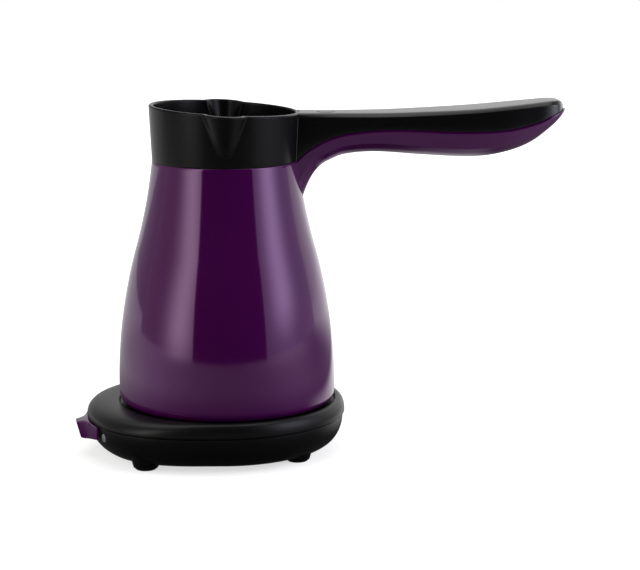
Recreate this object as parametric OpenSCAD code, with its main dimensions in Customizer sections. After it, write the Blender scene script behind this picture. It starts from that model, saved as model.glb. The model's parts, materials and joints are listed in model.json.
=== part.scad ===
// Electric pot for coffee boiled in the pot: a belly-shaped pot with a handle and two spouts, which stands
// and turns on a round cordless connector in a low base with a switch lever and a lamp.
// Millimetres. +Z is up and z = 0 is the table. The pot's axis is the Z axis and the handle points
// along +X.

/* [Pot] */
// Radius of the pot where it is widest
pot_r = 52.5; // [48:0.5:58]
// Height of the pot's shell, up to the collar
body_h = 117; // [108:1:124]
// Radius that the neck's inward curve would narrow to, above the collar's foot
waist_r = 33.5; // [31:0.1:36]
// Height of the widest place over the pot's bottom edge
widest_h = 8.7; // [7:0.1:14]
// Radius of the long outward curve of the belly
belly_arc = 244.5; // [220:0.5:270]
// Radius of the inward curve of the neck
neck_arc = 258.5; // [230:0.5:290]
// Rounding of the pot's bottom edge
bottom_round = 4; // [2.5:0.5:6]
// Wall of the outer shell
shell_wall = 2.2; // [1.6:0.1:2.6]
// Air gap between the outer shell and the steel vessel
air_gap = 2.2; // [1.6:0.1:3]
// Wall of the steel vessel
liner_wall = 0.8; // [0.5:0.1:1.2]
// Height of the vessel's floor over the pot's bottom edge
liner_floor_h = 28; // [27:0.5:34]
// Rounding between the vessel's floor and its wall
liner_round = 6; // [4:0.5:12]

/* [Collar] */
// Height of the collar at the pot's axis
collar_h = 25; // [22:0.5:32]
// How much wider the collar is at its top than at its foot
collar_flare = 1.2; // [0:0.1:3]
// Wall of the collar
collar_wall = 2.2; // [1.8:0.1:2.6]
// Fall of the rim towards the handle, degrees
rim_tilt = 3.2; // [0:0.1:5]
// Width of a spout at the rim
spout_w = 23; // [16:1:28]
// How far a spout stands out from the collar
spout_out = 8.6; // [5:0.2:12]
// Height of a spout, from its foot to the rim
spout_h = 19; // [14:0.5:20]
// Width of a spout at its foot
spout_foot_w = 8; // [5:0.5:12]

/* [Handle] */
// Length of the handle from the collar to its tip
handle_l = 129.9; // [110:0.1:150]
// Width of the handle at the collar
handle_root_w = 22; // [18:0.5:26]
// Width of the handle where it is widest
handle_w = 30; // [26:0.5:34]
// Height of the bevel along the handle's top edges
bevel_h = 1.9; // [0.6:0.1:2.4]
// Width of that bevel
bevel_w = 2.2; // [0.6:0.1:2.8]
// Wall of the two handle shells
handle_wall = 2.5; // [1.8:0.1:3]
// Radius of the round plug over the handle's screw
cap_r = 4.6; // [3.8:0.1:5]
// Distance of that plug from the pot's axis
cap_x = 48.4; // [46:0.2:52]

/* [Base] */
// Gap between the pot's widest place and the top shell's crest, which is a ring around the pot
crest_gap = 0.9; // [0.3:0.1:2.5]
// How far the base reaches beyond that crest
base_reach = 4; // [3:0.1:8]
// How much further the base reaches at the lever's end
lobe_out = 11; // [7:0.1:12]
// Half angle of the lever's end that keeps its full reach, degrees
lobe_flat = 22.4; // [20:0.2:28]
// Half angle at which that end runs out into the round base, degrees
lobe_end = 79; // [74:1:88]
// Turn of the base against the pot, degrees
base_turn = 8.6; // [0:0.2:15]
// Height of the base's underside over the table
foot_h = 2.1; // [1.9:0.1:4]
// Height of the bottom shell
tub_h = 16; // [15:0.5:19]
// Rounding of the bottom shell towards its underside
tub_round = 13.2; // [9:0.1:14]
// Step between the two shells at their seam
seam_step = 0.8; // [0.4:0.1:1]
// Height of the top shell's crest over the seam
dome_h = 7; // [5.6:0.1:8]
// Fullness of the top shell, 2 for an ellipse and more for a squarer edge
dome_full = 2.5; // [2:0.1:3]
// Fullness of the bottom shell
tub_full = 2.3; // [2:0.1:3]
// Wall of the two base shells
base_wall = 2; // [1.6:0.1:2.4]
// Depth of the seat under the crest
seat_depth = 1.8; // [1.4:0.1:2.4]
// Height of the pot's bottom edge over the seat
pot_stand = 1.1; // [0.8:0.1:1.3]
// Radius of a rubber foot
foot_r = 5; // [4:0.1:5.5]
// Depth of a foot in its pocket
foot_seat = 1; // [0.6:0.1:1.4]

/* [Connector] */
// Radius of the connector's tower
tower_r = 15; // [13.5:0.5:16]
// Height of the tower over the seat
tower_h = 9; // [8:0.2:10]
// Radius of the pin in the pot's socket
pin_r = 2.2; // [1.6:0.1:2.6]
// Middle radius of the ring contact in the pot's socket
ring_r = 10; // [9:0.1:10.4]
// Thickness of the contact ring
ring_wall = 0.8; // [0.6:0.1:1]
// Thickness of the slip ring that the pot turns on
slip_h = 1.3; // [0.8:0.1:1.6]

/* [Switch] */
// Distance of the lever's pin from the base's outline
pin_in = 11.4; // [10.8:0.1:12]
// Height of the lever's pin over the base's underside
pin_z = 12; // [11.6:0.1:12.4]
// Radius of the lever's pin
pivot_r = 1.5; // [1.2:0.1:1.8]
// Travel of the lever, degrees
lever_travel = 12; // [8:1:12]
// How far the lever stands out from the base
lever_out = 5.9; // [4:0.1:8]
// Width of the lever's tip
lever_tip_w = 6.4; // [5:0.2:8]
// Width of the lever's foot along the wall
lever_foot_w = 39; // [32:1:42]
// Height of the lever's tip
lever_tip_h = 8.1; // [7:0.1:9]
// Height of the lever's foot at its two ends
lever_foot_h = 6.1; // [5:0.1:8]
// Angle between the lever and the lamp, degrees
lamp_angle = 20; // [20:0.5:26]
// Radius of the lamp's window
lamp_r = 2.2; // [1.8:0.1:2.5]
// Radius of the hole for the cord
cord_hole_r = 3.3; // [2.8:0.1:3.6]

/* [Fits] */
// Gap between a moving piece and its neighbour
run_gap = 0.3; // [0.2:0.05:0.4]
// Radial gap of the lever on its pin
pin_gap = 0.05; // [0.02:0.01:0.1]
// Gap between two fixed pieces that fit into each other
fit_gap = 0.05; // [0.03:0.01:0.1]
// Radius of a screw's shank
screw_r = 1.25; // [1:0.05:1.5]
// Radius of a screw's head
head_r = 2.4; // [2:0.1:2.6]
// Height of a screw's head
head_h = 1.5; // [1.2:0.1:1.8]

/* [Hidden] */
$fn = 64;
eps = 0.01;

// Radius of the top shell's crest, of the round base and of the lever's end
crest_r = pot_r + crest_gap;
base_r = crest_r + base_reach;
lobe_r = base_r + lobe_out;
pin_x = lobe_r - pin_in;

// Heights in the base, over the table
seam_z = foot_h + tub_h;
crest_z = seam_z + dome_h;
seat_z = crest_z - seat_depth;
ceiling_z = seat_z - base_wall;
floor_z = foot_h + base_wall;
lever_pin_z = foot_h + pin_z;

// The pot's heights are over its own bottom edge, which stands at pot_z
pot_z = seat_z + pot_stand;
waist_h = widest_h + sqrt(pow(belly_arc + neck_arc, 2) - pow(waist_r + neck_arc + belly_arc - pot_r, 2));
neck_r = waist_r + neck_arc - sqrt(pow(neck_arc, 2) - pow(waist_h - body_h, 2));
turn_angle = asin((waist_h - widest_h) / (belly_arc + neck_arc));
liner_inset = shell_wall + air_gap;
rim_h = body_h + collar_h;

// The pot's closed bottom: a recess for its cover, a lip over it and the connector's socket
cover_r = 46.7;
recess_h = 3;
lip_h = recess_h + shell_wall;
cover_low_h = 0.6;
stand_r = 41.5;
stand_w = 3;
cover_screw_r = 44 - head_r / 2;
socket_wall = 2.8;
socket_r = tower_r + 0.8;
socket_out_r = socket_r + socket_wall;
socket_flange_r = socket_out_r + 5.4;
socket_roof_h = seat_z + tower_h + 2 - pot_z;
socket_top_h = socket_roof_h + 4;
socket_screw_r = socket_out_r + head_r + 0.5;
tail_h = socket_top_h + 0.6;
wire_r = 0.9;
lead_h = tail_h + wire_r;

// The heater under the vessel
plate_t = 3;
plate_r = 38;
plate_low_h = liner_floor_h - liner_wall - plate_t;
element_r = 3.2;
element_ring_r = 24;
element_open = 25;
element_h = plate_low_h - element_r;
cold_pin_r = 1.2;
cold_pin_h = 14;
thermostat_r = 8.5;
thermostat_h = 6.2;
clip_t = 1;
clip_x = 13.5;
fuse_r = 2.2;
fuse_l = 14;
fuse_y = thermostat_r + fuse_r + 2.8;

// The seat of the vessel's rim in the collar
collar_foot_r = neck_r - 0.1;
spigot_r = neck_r - shell_wall - fit_gap;
spigot_h = 5;
ledge_t = 2.5;
ledge_r = neck_r - liner_inset + 1;
gasket_t = 1.5;
liner_rim_h = body_h + ledge_t + gasket_t;
collar_slope = collar_flare / collar_h;

// The handle. Its curves run from the collar, 0, to the tip, 1, and their heights are over the rim
handle_x = neck_r - 1.3;
root_hw = handle_root_w / 2;
wide_hw = handle_w / 2;
handle_z = pot_z + rim_h - tan(rim_tilt) * neck_r;
top_line = [[-0.05, 0], [0.29, -0.1], [0.475, 0.6], [0.66, 1.8], [0.85, 4], [0.945, 5.2], [0.968, 5.1],
    [0.982, 4.3], [0.992, 2.7]];
split_line = [[-0.05, -26], [0, -22.4], [0.046, -17.4], [0.13, -11.6], [0.23, -8.8], [0.37, -7.6],
    [0.6, -8.6], [0.78, -7.7], [0.89, -4.6], [0.95, -1.6], [1, 1.2]];
under_line = [[-0.05, -72], [0, -52], [0.028, -39.9], [0.047, -33.6], [0.065, -29.4], [0.088, -25.9],
    [0.115, -23.5], [0.175, -20.3], [0.29, -19], [0.46, -20.4], [0.64, -21.4], [0.75, -19.9], [0.86, -15.2],
    [0.95, -7.1], [1, 0.4]];
width_line = [[-0.05, root_hw], [0.17, root_hw], [0.38, (root_hw + wide_hw) / 2], [0.6, wide_hw],
    [0.76, wide_hw], [0.86, wide_hw * 0.9], [0.93, wide_hw * 0.7], [0.97, wide_hw * 0.46],
    [0.99, wide_hw * 0.25], [1, wide_hw * 0.06]];
top_end = 0.992;
top_nose = 0.95;
side_taper = 0.96;
crease_taper = 0.9;
under_taper = 0.5;
root_steps = [-0.04, -0.02, 0, 0.015, 0.03, 0.045, 0.06, 0.08, 0.1, 0.13];
body_steps = [for (f = [0.18:0.06:0.84]) f];
tip_steps = [0.88, 0.91, 0.94, 0.96, 0.975, 0.985];
hollow_steps = [0.19, 0.25, 0.32, 0.4, 0.48, 0.56, 0.64, 0.72, 0.8, 0.86];
grip_screw_at = [0.3, 0.78];
tang_w = 11;
tang_t = 4;
tang_end = cap_x + 6;
tang_z = handle_z - 9.5;
cap_t = 2;
grip_boss_r = 3.6;

// The base's frame: its +X points at the lever
ring_points = 60;
screw_x = lobe_r - 38.4;
screw_y = base_r - 31.4;
back_screw_x = 25.4 - base_r;
screw_places = [[screw_x, screw_y], [screw_x, -screw_y], [back_screw_x, screw_y - 4],
    [back_screw_x, 4 - screw_y]];
foot_x = lobe_r - 24.1;
foot_y = base_r - 23.4;
back_foot_x = 28.9 - base_r;
foot_places = [[foot_x, foot_y], [foot_x, -foot_y], [back_foot_x, foot_y], [back_foot_x, -foot_y]];
foot_wall = 0.9;
foot_flare = 1.9;
foot_top_z = foot_h + foot_seat;
post_r = screw_r + 2.1;
post_split_z = floor_z + 4;
screw_recess = 3;
tower_hole_r = tower_r + run_gap;
slip_in_r = tower_r + 0.4;
slip_out_r = socket_out_r - 0.4;
hub_r = 18;
hub_low_z = floor_z + 8;
flange_t = 2.5;
ear_angles = [90, 210, 330];
ear_r = 27;
ear_pad_r = 4;
contact_low_z = hub_low_z + 5;
contact_tail_z = floor_z + 5.5;
slot_out_r = ring_r + ring_wall / 2 + 1.2;
slot_in_r = ring_r - ring_wall / 2 - 1.2;
bore_r = pin_r + 1;
contact_t = 0.5;
earth_w = 4;

// The switch
hub_w = 11;
lever_hub_r = 3.2;
stem_w = 10;
stem_low = 2;
stem_high = 2;
arm_w = 7;
arm_in = 11.5;
arm_low = 1;
arm_high = 1.2;
bridge_w = 15;
bridge_t = 0.6;
bridge_l = 4;
nose_r = 0.8;
detent_r = 5;
leaf_t = 0.5;
leaf_w = 4;
lever_wall_r = lobe_r - seam_step + 0.4;
lever_top_z = seam_z - 0.8;
lever_low_z = lever_top_z - 0.8 - lever_tip_h;
lever_tip_x = lobe_r + lever_out;
ear_t = 2.5;
ear_y = hub_w / 2 + 0.5;
frame_t = 1.5;
frame_w = 2 * (ear_y + ear_t);
frame_in = pin_x - arm_in - 5.5;
frame_end = pin_x - 6.5;
pad_x = pin_x - 10;
pad_y = 12.2;
pad_top_z = floor_z + 3;
post_x = frame_in + 1.5;
post_y = 6.5;
post_w = 2;
post_t = 0.8;
closed_z = lever_pin_z + (arm_in + 1) * sin(lever_travel) + (arm_high + bridge_t) * cos(lever_travel);
fixed_low_z = closed_z + 0.25;

// The lamp, the cord's inlet and the terminals
lamp_z = foot_h + 10.8;
lamp_face_r = lobe_r - 1.2;
lens_step_r = lamp_face_r - 3.2;
lens_flange_r = lamp_r + 0.8;
lens_flange_t = 1.2;
lamp_tube_r = 2;
lamp_tube_l = 9.5;
holder_r = lens_flange_r;
holder_l = 7.6;
gland_z = foot_h + 8;
gland_face_y = base_r - 1;
gland_r = cord_hole_r + 1.3;
gland_flange_r = gland_r + 1;
gland_flange_t = 1.4;
gland_l = 8;
block_y = base_r - 22.9;
block_l = 8;
block_w = 24;
block_h = 8;
cell_x = 8;
cell_z = floor_z + 4;

// ---------------------------------------------------------------- shared shapes

// Smooth curve through points [x, y] with rising x, read at x
function slope_at(p, i) = i == 0 ? (p[1][1] - p[0][1]) / (p[1][0] - p[0][0])
    : i == len(p) - 1 ? (p[i][1] - p[i - 1][1]) / (p[i][0] - p[i - 1][0])
    : (p[i + 1][1] - p[i - 1][1]) / (p[i + 1][0] - p[i - 1][0]);
function span_of(p, x, i = 0) = i >= len(p) - 2 || x < p[i + 1][0] ? i : span_of(p, x, i + 1);
function curve(p, x) = let (i = span_of(p, x), w = p[i + 1][0] - p[i][0], t = (x - p[i][0]) / w)
    (2 * t * t * t - 3 * t * t + 1) * p[i][1] + (t * t * t - 2 * t * t + t) * w * slope_at(p, i)
    + (3 * t * t - 2 * t * t * t) * p[i + 1][1] + (t * t * t - t * t) * w * slope_at(p, i + 1);

// Solid through rings of points, each with as many points as the first
module loft(rings) {
    n = len(rings[0]);
    m = len(rings);
    polyhedron(
        points = [for (ring = rings) each ring],
        faces = concat(
            [[for (i = [0:n - 1]) i]],
            [for (j = [0:m - 2], i = [0:n - 1]) each [
                [j * n + i, (j + 1) * n + i, j * n + (i + 1) % n],
                [j * n + (i + 1) % n, (j + 1) * n + i, (j + 1) * n + (i + 1) % n]]],
            [[for (i = [n - 1:-1:0]) (m - 1) * n + i]]));
}

// Rings of a lead through points: each ring is the one before, moved along its run to the corner's plane
function run_of(points, i) = let (j = min(i, len(points) - 2), d = points[j + 1] - points[j]) d / norm(d);
function corner_of(points, i) = let (n = run_of(points, max(i - 1, 0)) + run_of(points, i)) n / norm(n);
function lead_rings(points, ring, i = 1) = i >= len(points) ? [ring]
    : let (d = run_of(points, i - 1), n = corner_of(points, i))
        concat([ring], lead_rings(points, [for (q = ring) q + d * ((points[i] - q) * n) / (d * n)], i + 1));

// Round lead through points
module wire(points, r) {
    d = run_of(points, 0);
    u = cross(d, [0.3, 0.5, 0.8]);
    side = u / norm(u);
    up = cross(d, side);
    loft(lead_rings(points, [for (a = [0:30:330]) points[0] + r * (cos(a) * side + sin(a) * up)]));
}

// Tube from z0 to z1
module tube(r_out, r_in, z0, z1) {
    translate([0, 0, z0]) difference() {
        cylinder(h = z1 - z0, r = r_out);
        translate([0, 0, -1]) cylinder(h = z1 - z0 + 2, r = r_in);
    }
}

// Screw with its head at the top and its tip at z = 0
module screw(shank_l, r = screw_r) {
    cylinder(h = shank_l, r = r, $fn = 24);
    translate([0, 0, shank_l]) difference() {
        cylinder(h = head_h, r = head_r, $fn = 24);
        translate([0, 0, head_h / 2 + 0.5]) cube([3.2, 0.6, 1], center = true);
        translate([0, 0, head_h / 2 + 0.5]) cube([0.6, 3.2, 1], center = true);
    }
}

module in_pot() translate([0, 0, pot_z]) children();

module in_base() rotate([0, 0, 180 + base_turn]) children();

// ---------------------------------------------------------------- pot

// Half outline of the pot, moved inwards by inset, from floor_h up to top_h
module pot_outline(inset, floor_h, round_r, top_h) {
    turn_h = widest_h + (belly_arc - inset) * sin(turn_angle);
    turn_r = pot_r - belly_arc + (belly_arc - inset) * cos(turn_angle);
    low_h = floor_h + round_r;
    low_r = pot_r - belly_arc + sqrt(pow(belly_arc - inset, 2) - pow(low_h - widest_h, 2));
    intersection() {
        translate([pot_r - belly_arc, widest_h]) circle(r = belly_arc - inset, $fn = 720);
        translate([0, low_h - eps]) square([pot_r, turn_h - low_h + eps]);
    }
    difference() {
        translate([0, turn_h]) square([turn_r + 2, top_h - turn_h]);
        translate([waist_r + neck_arc, waist_h]) circle(r = neck_arc + inset, $fn = 720);
    }
    translate([0, floor_h]) square([low_r - round_r, round_r + 5]);
    intersection() {
        translate([low_r - round_r, low_h]) circle(r = round_r);
        translate([0, floor_h]) square([low_r, round_r]);
    }
}

module outer_shell() color("#4a2350") in_pot() difference() {
    union() {
        rotate_extrude($fn = 128) difference() {
            pot_outline(0, 0, bottom_round, body_h);
            pot_outline(shell_wall, lip_h, 1, body_h + 1);
            translate([0, -1]) square([cover_r + fit_gap, recess_h + 1]);
            square([plate_r, lip_h + 1]);
        }
        for (a = [30, 150, 270]) rotate(a) translate([cover_screw_r, 0, lip_h - 0.5])
            cylinder(h = 7, r = 3.2);
    }
    for (a = [30, 150, 270]) rotate(a) translate([cover_screw_r, 0, -1])
        cylinder(h = 11, r = screw_r + fit_gap);
}

module liner() color("silver") in_pot() rotate_extrude($fn = 128) {
    difference() {
        pot_outline(liner_inset, liner_floor_h - liner_wall, liner_round, liner_rim_h + liner_wall);
        pot_outline(liner_inset + liner_wall, liner_floor_h, liner_round - liner_wall, liner_rim_h + 5);
    }
    translate([neck_r - liner_inset - 0.9, liner_rim_h])
        square([spigot_r - neck_r + liner_inset + 0.9, liner_wall]);
}

module liner_gasket() color("dimgray") in_pot()
    tube(spigot_r, ledge_r, liner_rim_h - gasket_t, liner_rim_h);

// One spout as a solid, thinned by wall all round
module spout_solid(wall) {
    top_r = spout_w / 2;
    foot_r = spout_foot_w / 2;
    top_h = rim_h + 4;
    root_h = rim_h - spout_h;
    top_y = collar_foot_r + collar_flare + spout_out - top_r;
    hull() {
        translate([0, top_y, top_h]) cylinder(h = 0.1, r = top_r - wall, $fn = 32);
        translate([0, collar_foot_r - foot_r - wall * 1.5, root_h]) cylinder(h = 0.1, r = foot_r, $fn = 32);
    }
}

module collar_cone(extra, low_h) translate([0, 0, low_h])
    cylinder(h = rim_h + 6 - low_h, r1 = collar_foot_r + extra + (low_h - body_h) * collar_slope,
        r2 = collar_foot_r + extra + (rim_h + 6 - body_h) * collar_slope, $fn = 128);

module collar() color("#232325") in_pot() difference() {
    union() {
        collar_cone(0, body_h);
        for (s = [0, 180]) rotate(s) spout_solid(0);
        tube(spigot_r, ledge_r, body_h - spigot_h, body_h + eps);
        translate([0, -tang_w / 2, tang_z - pot_z]) cube([tang_end, tang_w, tang_t]);
    }
    collar_cone(-collar_wall, body_h + ledge_t);
    translate([0, 0, body_h - 1]) cylinder(h = ledge_t + 2, r = ledge_r);
    for (s = [0, 180]) rotate(s) intersection() {
        spout_solid(collar_wall);
        translate([-30, 0, liner_rim_h + liner_wall]) cube([60, 60, 60]);
    }
    translate([0, 0, rim_h]) rotate([0, rim_tilt, 0]) translate([-80, -80, 0]) cube([160, 160, 20]);
    translate([cap_x, 0, tang_z - pot_z - 1]) cylinder(h = tang_t + 2, r = screw_r + fit_gap, $fn = 24);
}

module heater_plate() color("gainsboro") in_pot() translate([0, 0, plate_low_h])
    cylinder(h = plate_t, r = plate_r);

module heater_element() color("darkgray") in_pot() translate([0, 0, element_h]) {
    rotate([0, 0, element_open]) rotate_extrude(angle = 360 - 2 * element_open)
        translate([element_ring_r, 0]) circle(r = element_r, $fn = 32);
    for (s = [-1, 1]) rotate([0, 0, s * element_open]) translate([element_ring_r, -s * 2, 0]) {
        sphere(r = element_r - 0.4, $fn = 32);
        translate([0, 0, cold_pin_h - element_h])
            cylinder(h = element_h - cold_pin_h, r = cold_pin_r, $fn = 24);
    }
}

module thermostat() color("tan") in_pot() {
    translate([0, 0, plate_low_h - 2]) cylinder(h = 2, r = thermostat_r - 1);
    translate([0, 0, plate_low_h - thermostat_h]) cylinder(h = thermostat_h - 2, r = thermostat_r);
}

module thermostat_clip() color("lightgray") in_pot() {
    low_h = plate_low_h - thermostat_h - clip_t;
    translate([-clip_x, -3, low_h]) cube([2 * clip_x, 6, clip_t]);
    for (s = [-1, 1]) translate([s * clip_x - 1, -3, low_h]) cube([2, 6, plate_low_h - low_h]);
}

module thermal_fuse() color("wheat") in_pot() translate([-fuse_l / 2, fuse_y, plate_low_h - fuse_r])
    rotate([0, 90, 0]) cylinder(h = fuse_l, r = fuse_r, $fn = 32);

module pot_base() color("#1c1c1e") in_pot() difference() {
    union() {
        translate([0, 0, cover_low_h]) cylinder(h = recess_h - cover_low_h, r = cover_r);
        tube(stand_r + stand_w / 2, stand_r - stand_w / 2, seat_z + run_gap - pot_z, cover_low_h + eps);
    }
    translate([0, 0, -2]) cylinder(h = 8, r = socket_out_r + fit_gap);
    for (a = [30, 150, 270]) rotate(a) translate([cover_screw_r, 0, -2]) {
        cylinder(h = 8, r = screw_r + fit_gap, $fn = 24);
        cylinder(h = 2 + cover_low_h + 1, r = head_r + 0.2, $fn = 24);
    }
    for (a = [90, 210, 330]) rotate(a) translate([socket_screw_r, 0, cover_low_h + 0.8])
        cylinder(h = 5, r = screw_r + fit_gap, $fn = 24);
}

module pot_base_screws() color("lightgray") in_pot()
    for (a = [30, 150, 270]) rotate(a) translate([cover_screw_r, 0, cover_low_h + 1])
        mirror([0, 0, 1]) translate([0, 0, -6.5]) screw(6.5);

module upper_connector() color("#2a2a2c") in_pot() difference() {
    union() {
        translate([0, 0, cover_low_h]) cylinder(h = socket_top_h - cover_low_h, r = socket_out_r);
        translate([0, 0, recess_h]) cylinder(h = 2, r = socket_flange_r);
    }
    translate([0, 0, cover_low_h - 1]) cylinder(h = socket_roof_h - cover_low_h + 1, r = socket_r);
    cylinder(h = 30, r = pin_r + fit_gap, $fn = 32);
    tube(ring_r + ring_wall / 2 + fit_gap, ring_r - ring_wall / 2 - fit_gap, socket_roof_h - 1,
        socket_roof_h + 1.5);
    translate([ring_r, 0, 0]) cylinder(h = 30, r = wire_r + fit_gap, $fn = 24);
    translate([-socket_r, 0, socket_roof_h - 2]) cylinder(h = 30, r = wire_r + fit_gap, $fn = 24);
    for (a = [90, 210, 330]) rotate(a) translate([socket_screw_r, 0, 0])
        cylinder(h = 30, r = screw_r + fit_gap, $fn = 24);
}

module connector_pins() color("gold") in_pot() {
    translate([0, 0, socket_roof_h - 8]) cylinder(h = tail_h - socket_roof_h + 8, r = pin_r, $fn = 32);
    tube(ring_r + ring_wall / 2, ring_r - ring_wall / 2, socket_roof_h - 7.5, socket_roof_h + 1.4);
    translate([ring_r, 0, socket_roof_h]) cylinder(h = tail_h - socket_roof_h, r = wire_r, $fn = 24);
    tube(socket_r - fit_gap, socket_r - 0.35, socket_roof_h - 7, socket_roof_h - 0.5);
    intersection() {
        translate([-socket_r, 0, socket_roof_h - 2])
            cylinder(h = tail_h - socket_roof_h + 2, r = wire_r, $fn = 24);
        translate([-socket_r - 2, -2, 0]) cube([2.6 + fit_gap, 4, 30]);
    }
}

module upper_connector_screws() color("lightgray") in_pot()
    for (a = [90, 210, 330]) rotate(a) translate([socket_screw_r, 0, cover_low_h + 1])
        screw(recess_h + 2 - cover_low_h - 1);

module pot_wires() color("white") in_pot() {
    side = element_ring_r * cos(element_open) + 2 * sin(element_open);
    off = element_ring_r * sin(element_open) - 2 * cos(element_open);
    wire([[0, 0, tail_h], [0, 0, lead_h], [12, -14, lead_h], [side, -off, cold_pin_h - 2],
        [side, -off, cold_pin_h]], wire_r);
    wire([[ring_r, 0, tail_h], [ring_r, 0, lead_h], [ring_r, fuse_y - 3, lead_h],
        [fuse_l / 2 + 2, fuse_y, plate_low_h - fuse_r], [fuse_l / 2, fuse_y, plate_low_h - fuse_r]],
            wire_r);
    wire([[-fuse_l / 2, fuse_y, plate_low_h - fuse_r], [-fuse_l / 2 - 2, fuse_y, plate_low_h - fuse_r],
        [-fuse_l / 2, fuse_y + 4, lead_h], [side - 4, off + 8, lead_h], [side, off, cold_pin_h - 2],
        [side, off, cold_pin_h]], wire_r);
    wire([[-socket_r - 0.5, 0, tail_h], [-socket_r - 0.5, 0, lead_h], [-plate_r + 5, 0, lead_h],
        [-plate_r + 5, 0, plate_low_h]], wire_r);
}

// ---------------------------------------------------------------- handle

function hx(f) = handle_x + f * handle_l;
function top_hw(f) = f < top_nose ? curve(width_line, f)
    : curve(width_line, f) * sqrt(max(0.02, 1 - pow((f - top_nose) / (top_end - top_nose), 2)));

// Ring of the black half at f, made smaller by inset
function top_ring(f, inset) =
    let (x = hx(f), h = top_hw(f) - inset, z1 = handle_z + curve(top_line, f) - inset,
    z0 = handle_z + curve(split_line, f) - (inset > 0 ? 1 : 0), bevel = min(bevel_h, (z1 - z0) / 2),
    b = min(bevel_w, h / 2))
    [[x, -h + b, z1], [x, -h + b / 3, z1 - bevel / 3], [x, -h, z1 - bevel], [x, -h * side_taper, z0],
     [x, h * side_taper, z0], [x, h, z1 - bevel], [x, h - b / 3, z1 - bevel / 3], [x, h - b, z1]];

// Ring of the purple half at f, made smaller by inset
function grip_ring(f, inset) = let (x = hx(f), w = curve(width_line, f) - inset,
    z1 = handle_z + curve(split_line, f) + (inset > 0 ? 1 : 0),
    z0 = handle_z + curve(under_line, f) + inset, h = w * side_taper, zc = z0 + min(4.5, (z1 - z0) * 0.45))
    [[x, -h, z1], [x, -w * crease_taper, zc],
     [x, -w * (crease_taper + under_taper) / 2 - 0.4, (zc + z0) / 2 - 0.5],
     [x, -w * under_taper, z0], [x, w * under_taper, z0],
     [x, w * (crease_taper + under_taper) / 2 + 0.4, (zc + z0) / 2 - 0.5],
     [x, w * crease_taper, zc], [x, h, z1]];

module pot_surface_cut() in_pot() {
    rotate_extrude($fn = 128) pot_outline(-fit_gap, widest_h + 20, 1, body_h);
    collar_cone(fit_gap, body_h - 5);
}

module handle_top() color("#151517") difference() {
    union() {
        difference() {
            loft([for (f = concat(root_steps, body_steps, tip_steps, [top_end])) top_ring(f, 0)]);
            loft([for (f = hollow_steps) top_ring(f, handle_wall)]);
        }
        for (f = grip_screw_at) translate([hx(f), 0, handle_z + curve(split_line, f)])
            cylinder(h = curve(top_line, f) - curve(split_line, f) - 1, r = grip_boss_r);
    }
    pot_surface_cut();
    translate([0, -tang_w / 2 - fit_gap, tang_z - fit_gap])
        cube([tang_end + 2 * fit_gap, tang_w + 2 * fit_gap, tang_t + 2 * fit_gap]);
    translate([cap_x, 0, tang_z - 20]) cylinder(h = 40, r = screw_r + fit_gap, $fn = 24);
    translate([cap_x, 0, handle_z - cap_t - head_h - 0.2]) cylinder(h = 20, r = head_r + 0.2, $fn = 32);
    translate([cap_x, 0, handle_z - cap_t]) cylinder(h = 20, r = cap_r + fit_gap);
    for (f = grip_screw_at) translate([hx(f), 0, handle_z + curve(split_line, f) - 1])
        cylinder(h = 6, r = screw_r + fit_gap, $fn = 24);
}

module handle_grip() color("#4a2350") difference() {
    union() {
        difference() {
            loft([for (f = concat(root_steps, body_steps, tip_steps, [0.994, 1])) grip_ring(f, 0)]);
            loft([for (f = hollow_steps) grip_ring(f, handle_wall)]);
        }
        for (f = grip_screw_at) translate([hx(f), 0, handle_z + curve(under_line, f) + 0.5])
            cylinder(h = curve(split_line, f) - curve(under_line, f) - 0.5, r = grip_boss_r);
    }
    pot_surface_cut();
    translate([0, -tang_w / 2 - fit_gap, tang_z - fit_gap])
        cube([tang_end + 2 * fit_gap, tang_w + 2 * fit_gap, tang_t + 2 * fit_gap]);
    translate([cap_x, 0, handle_z - 20]) cylinder(h = 20, r = screw_r + fit_gap, $fn = 24);
    for (f = grip_screw_at) translate([hx(f), 0, handle_z + curve(under_line, f) - 1]) {
        cylinder(h = 30, r = screw_r + fit_gap, $fn = 24);
        cylinder(h = 5.5, r = head_r + 0.2, $fn = 32);
    }
}

module handle_cap() color("#0e0e10") translate([cap_x, 0, handle_z - cap_t + eps])
    cylinder(h = cap_t - 0.1, r = cap_r);

module handle_screw() color("lightgray") translate([cap_x, 0, handle_z - 19])
    screw(19 - cap_t - head_h - 0.2);

module grip_screws() color("lightgray")
    for (f = grip_screw_at) let (head_z = handle_z + curve(under_line, f) + 4.5)
        translate([hx(f), 0, head_z]) mirror([0, 0, 1])
            translate([0, 0, head_z - handle_z - curve(split_line, f) - 4.5])
                screw(handle_z + curve(split_line, f) + 4.5 - head_z);

// ---------------------------------------------------------------- base

// Radius of the base's outline in the direction a, degrees from the lever
function base_outline(a) = let (t = (abs(a) - lobe_flat) / (lobe_end - lobe_flat))
    base_r + lobe_out * (1 + cos(180 * min(1, max(0, t)))) / 2;

// Ring at z whose radius is the mean of the outline less inset and a circle, by share
function base_ring(inset, share, inner_r, z) = [for (i = [0:ring_points - 1])
    let (a = 180 - i * 360 / ring_points, r = inner_r + (base_outline(a) - inset - inner_r) * share)
    [r * cos(a), r * sin(a), z]];

// Cosine and sine of a squarer quarter round
function full_cos(t, full) = pow(max(0, cos(t)), 2 / full);
function full_sin(t, full) = pow(sin(t), 2 / full);

// Solid whose section's rings close on themselves, like a tyre
module closed_loft(rings) {
    n = len(rings[0]);
    m = len(rings);
    polyhedron(points = [for (ring = rings) each ring], faces = [for (j = [0:m - 1], i = [0:n - 1])
        let (a = j * n, b = ((j + 1) % m) * n, k = (i + 1) % n)
            each [[a + i, b + i, a + k], [a + k, b + i, b + k]]]);
}

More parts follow.
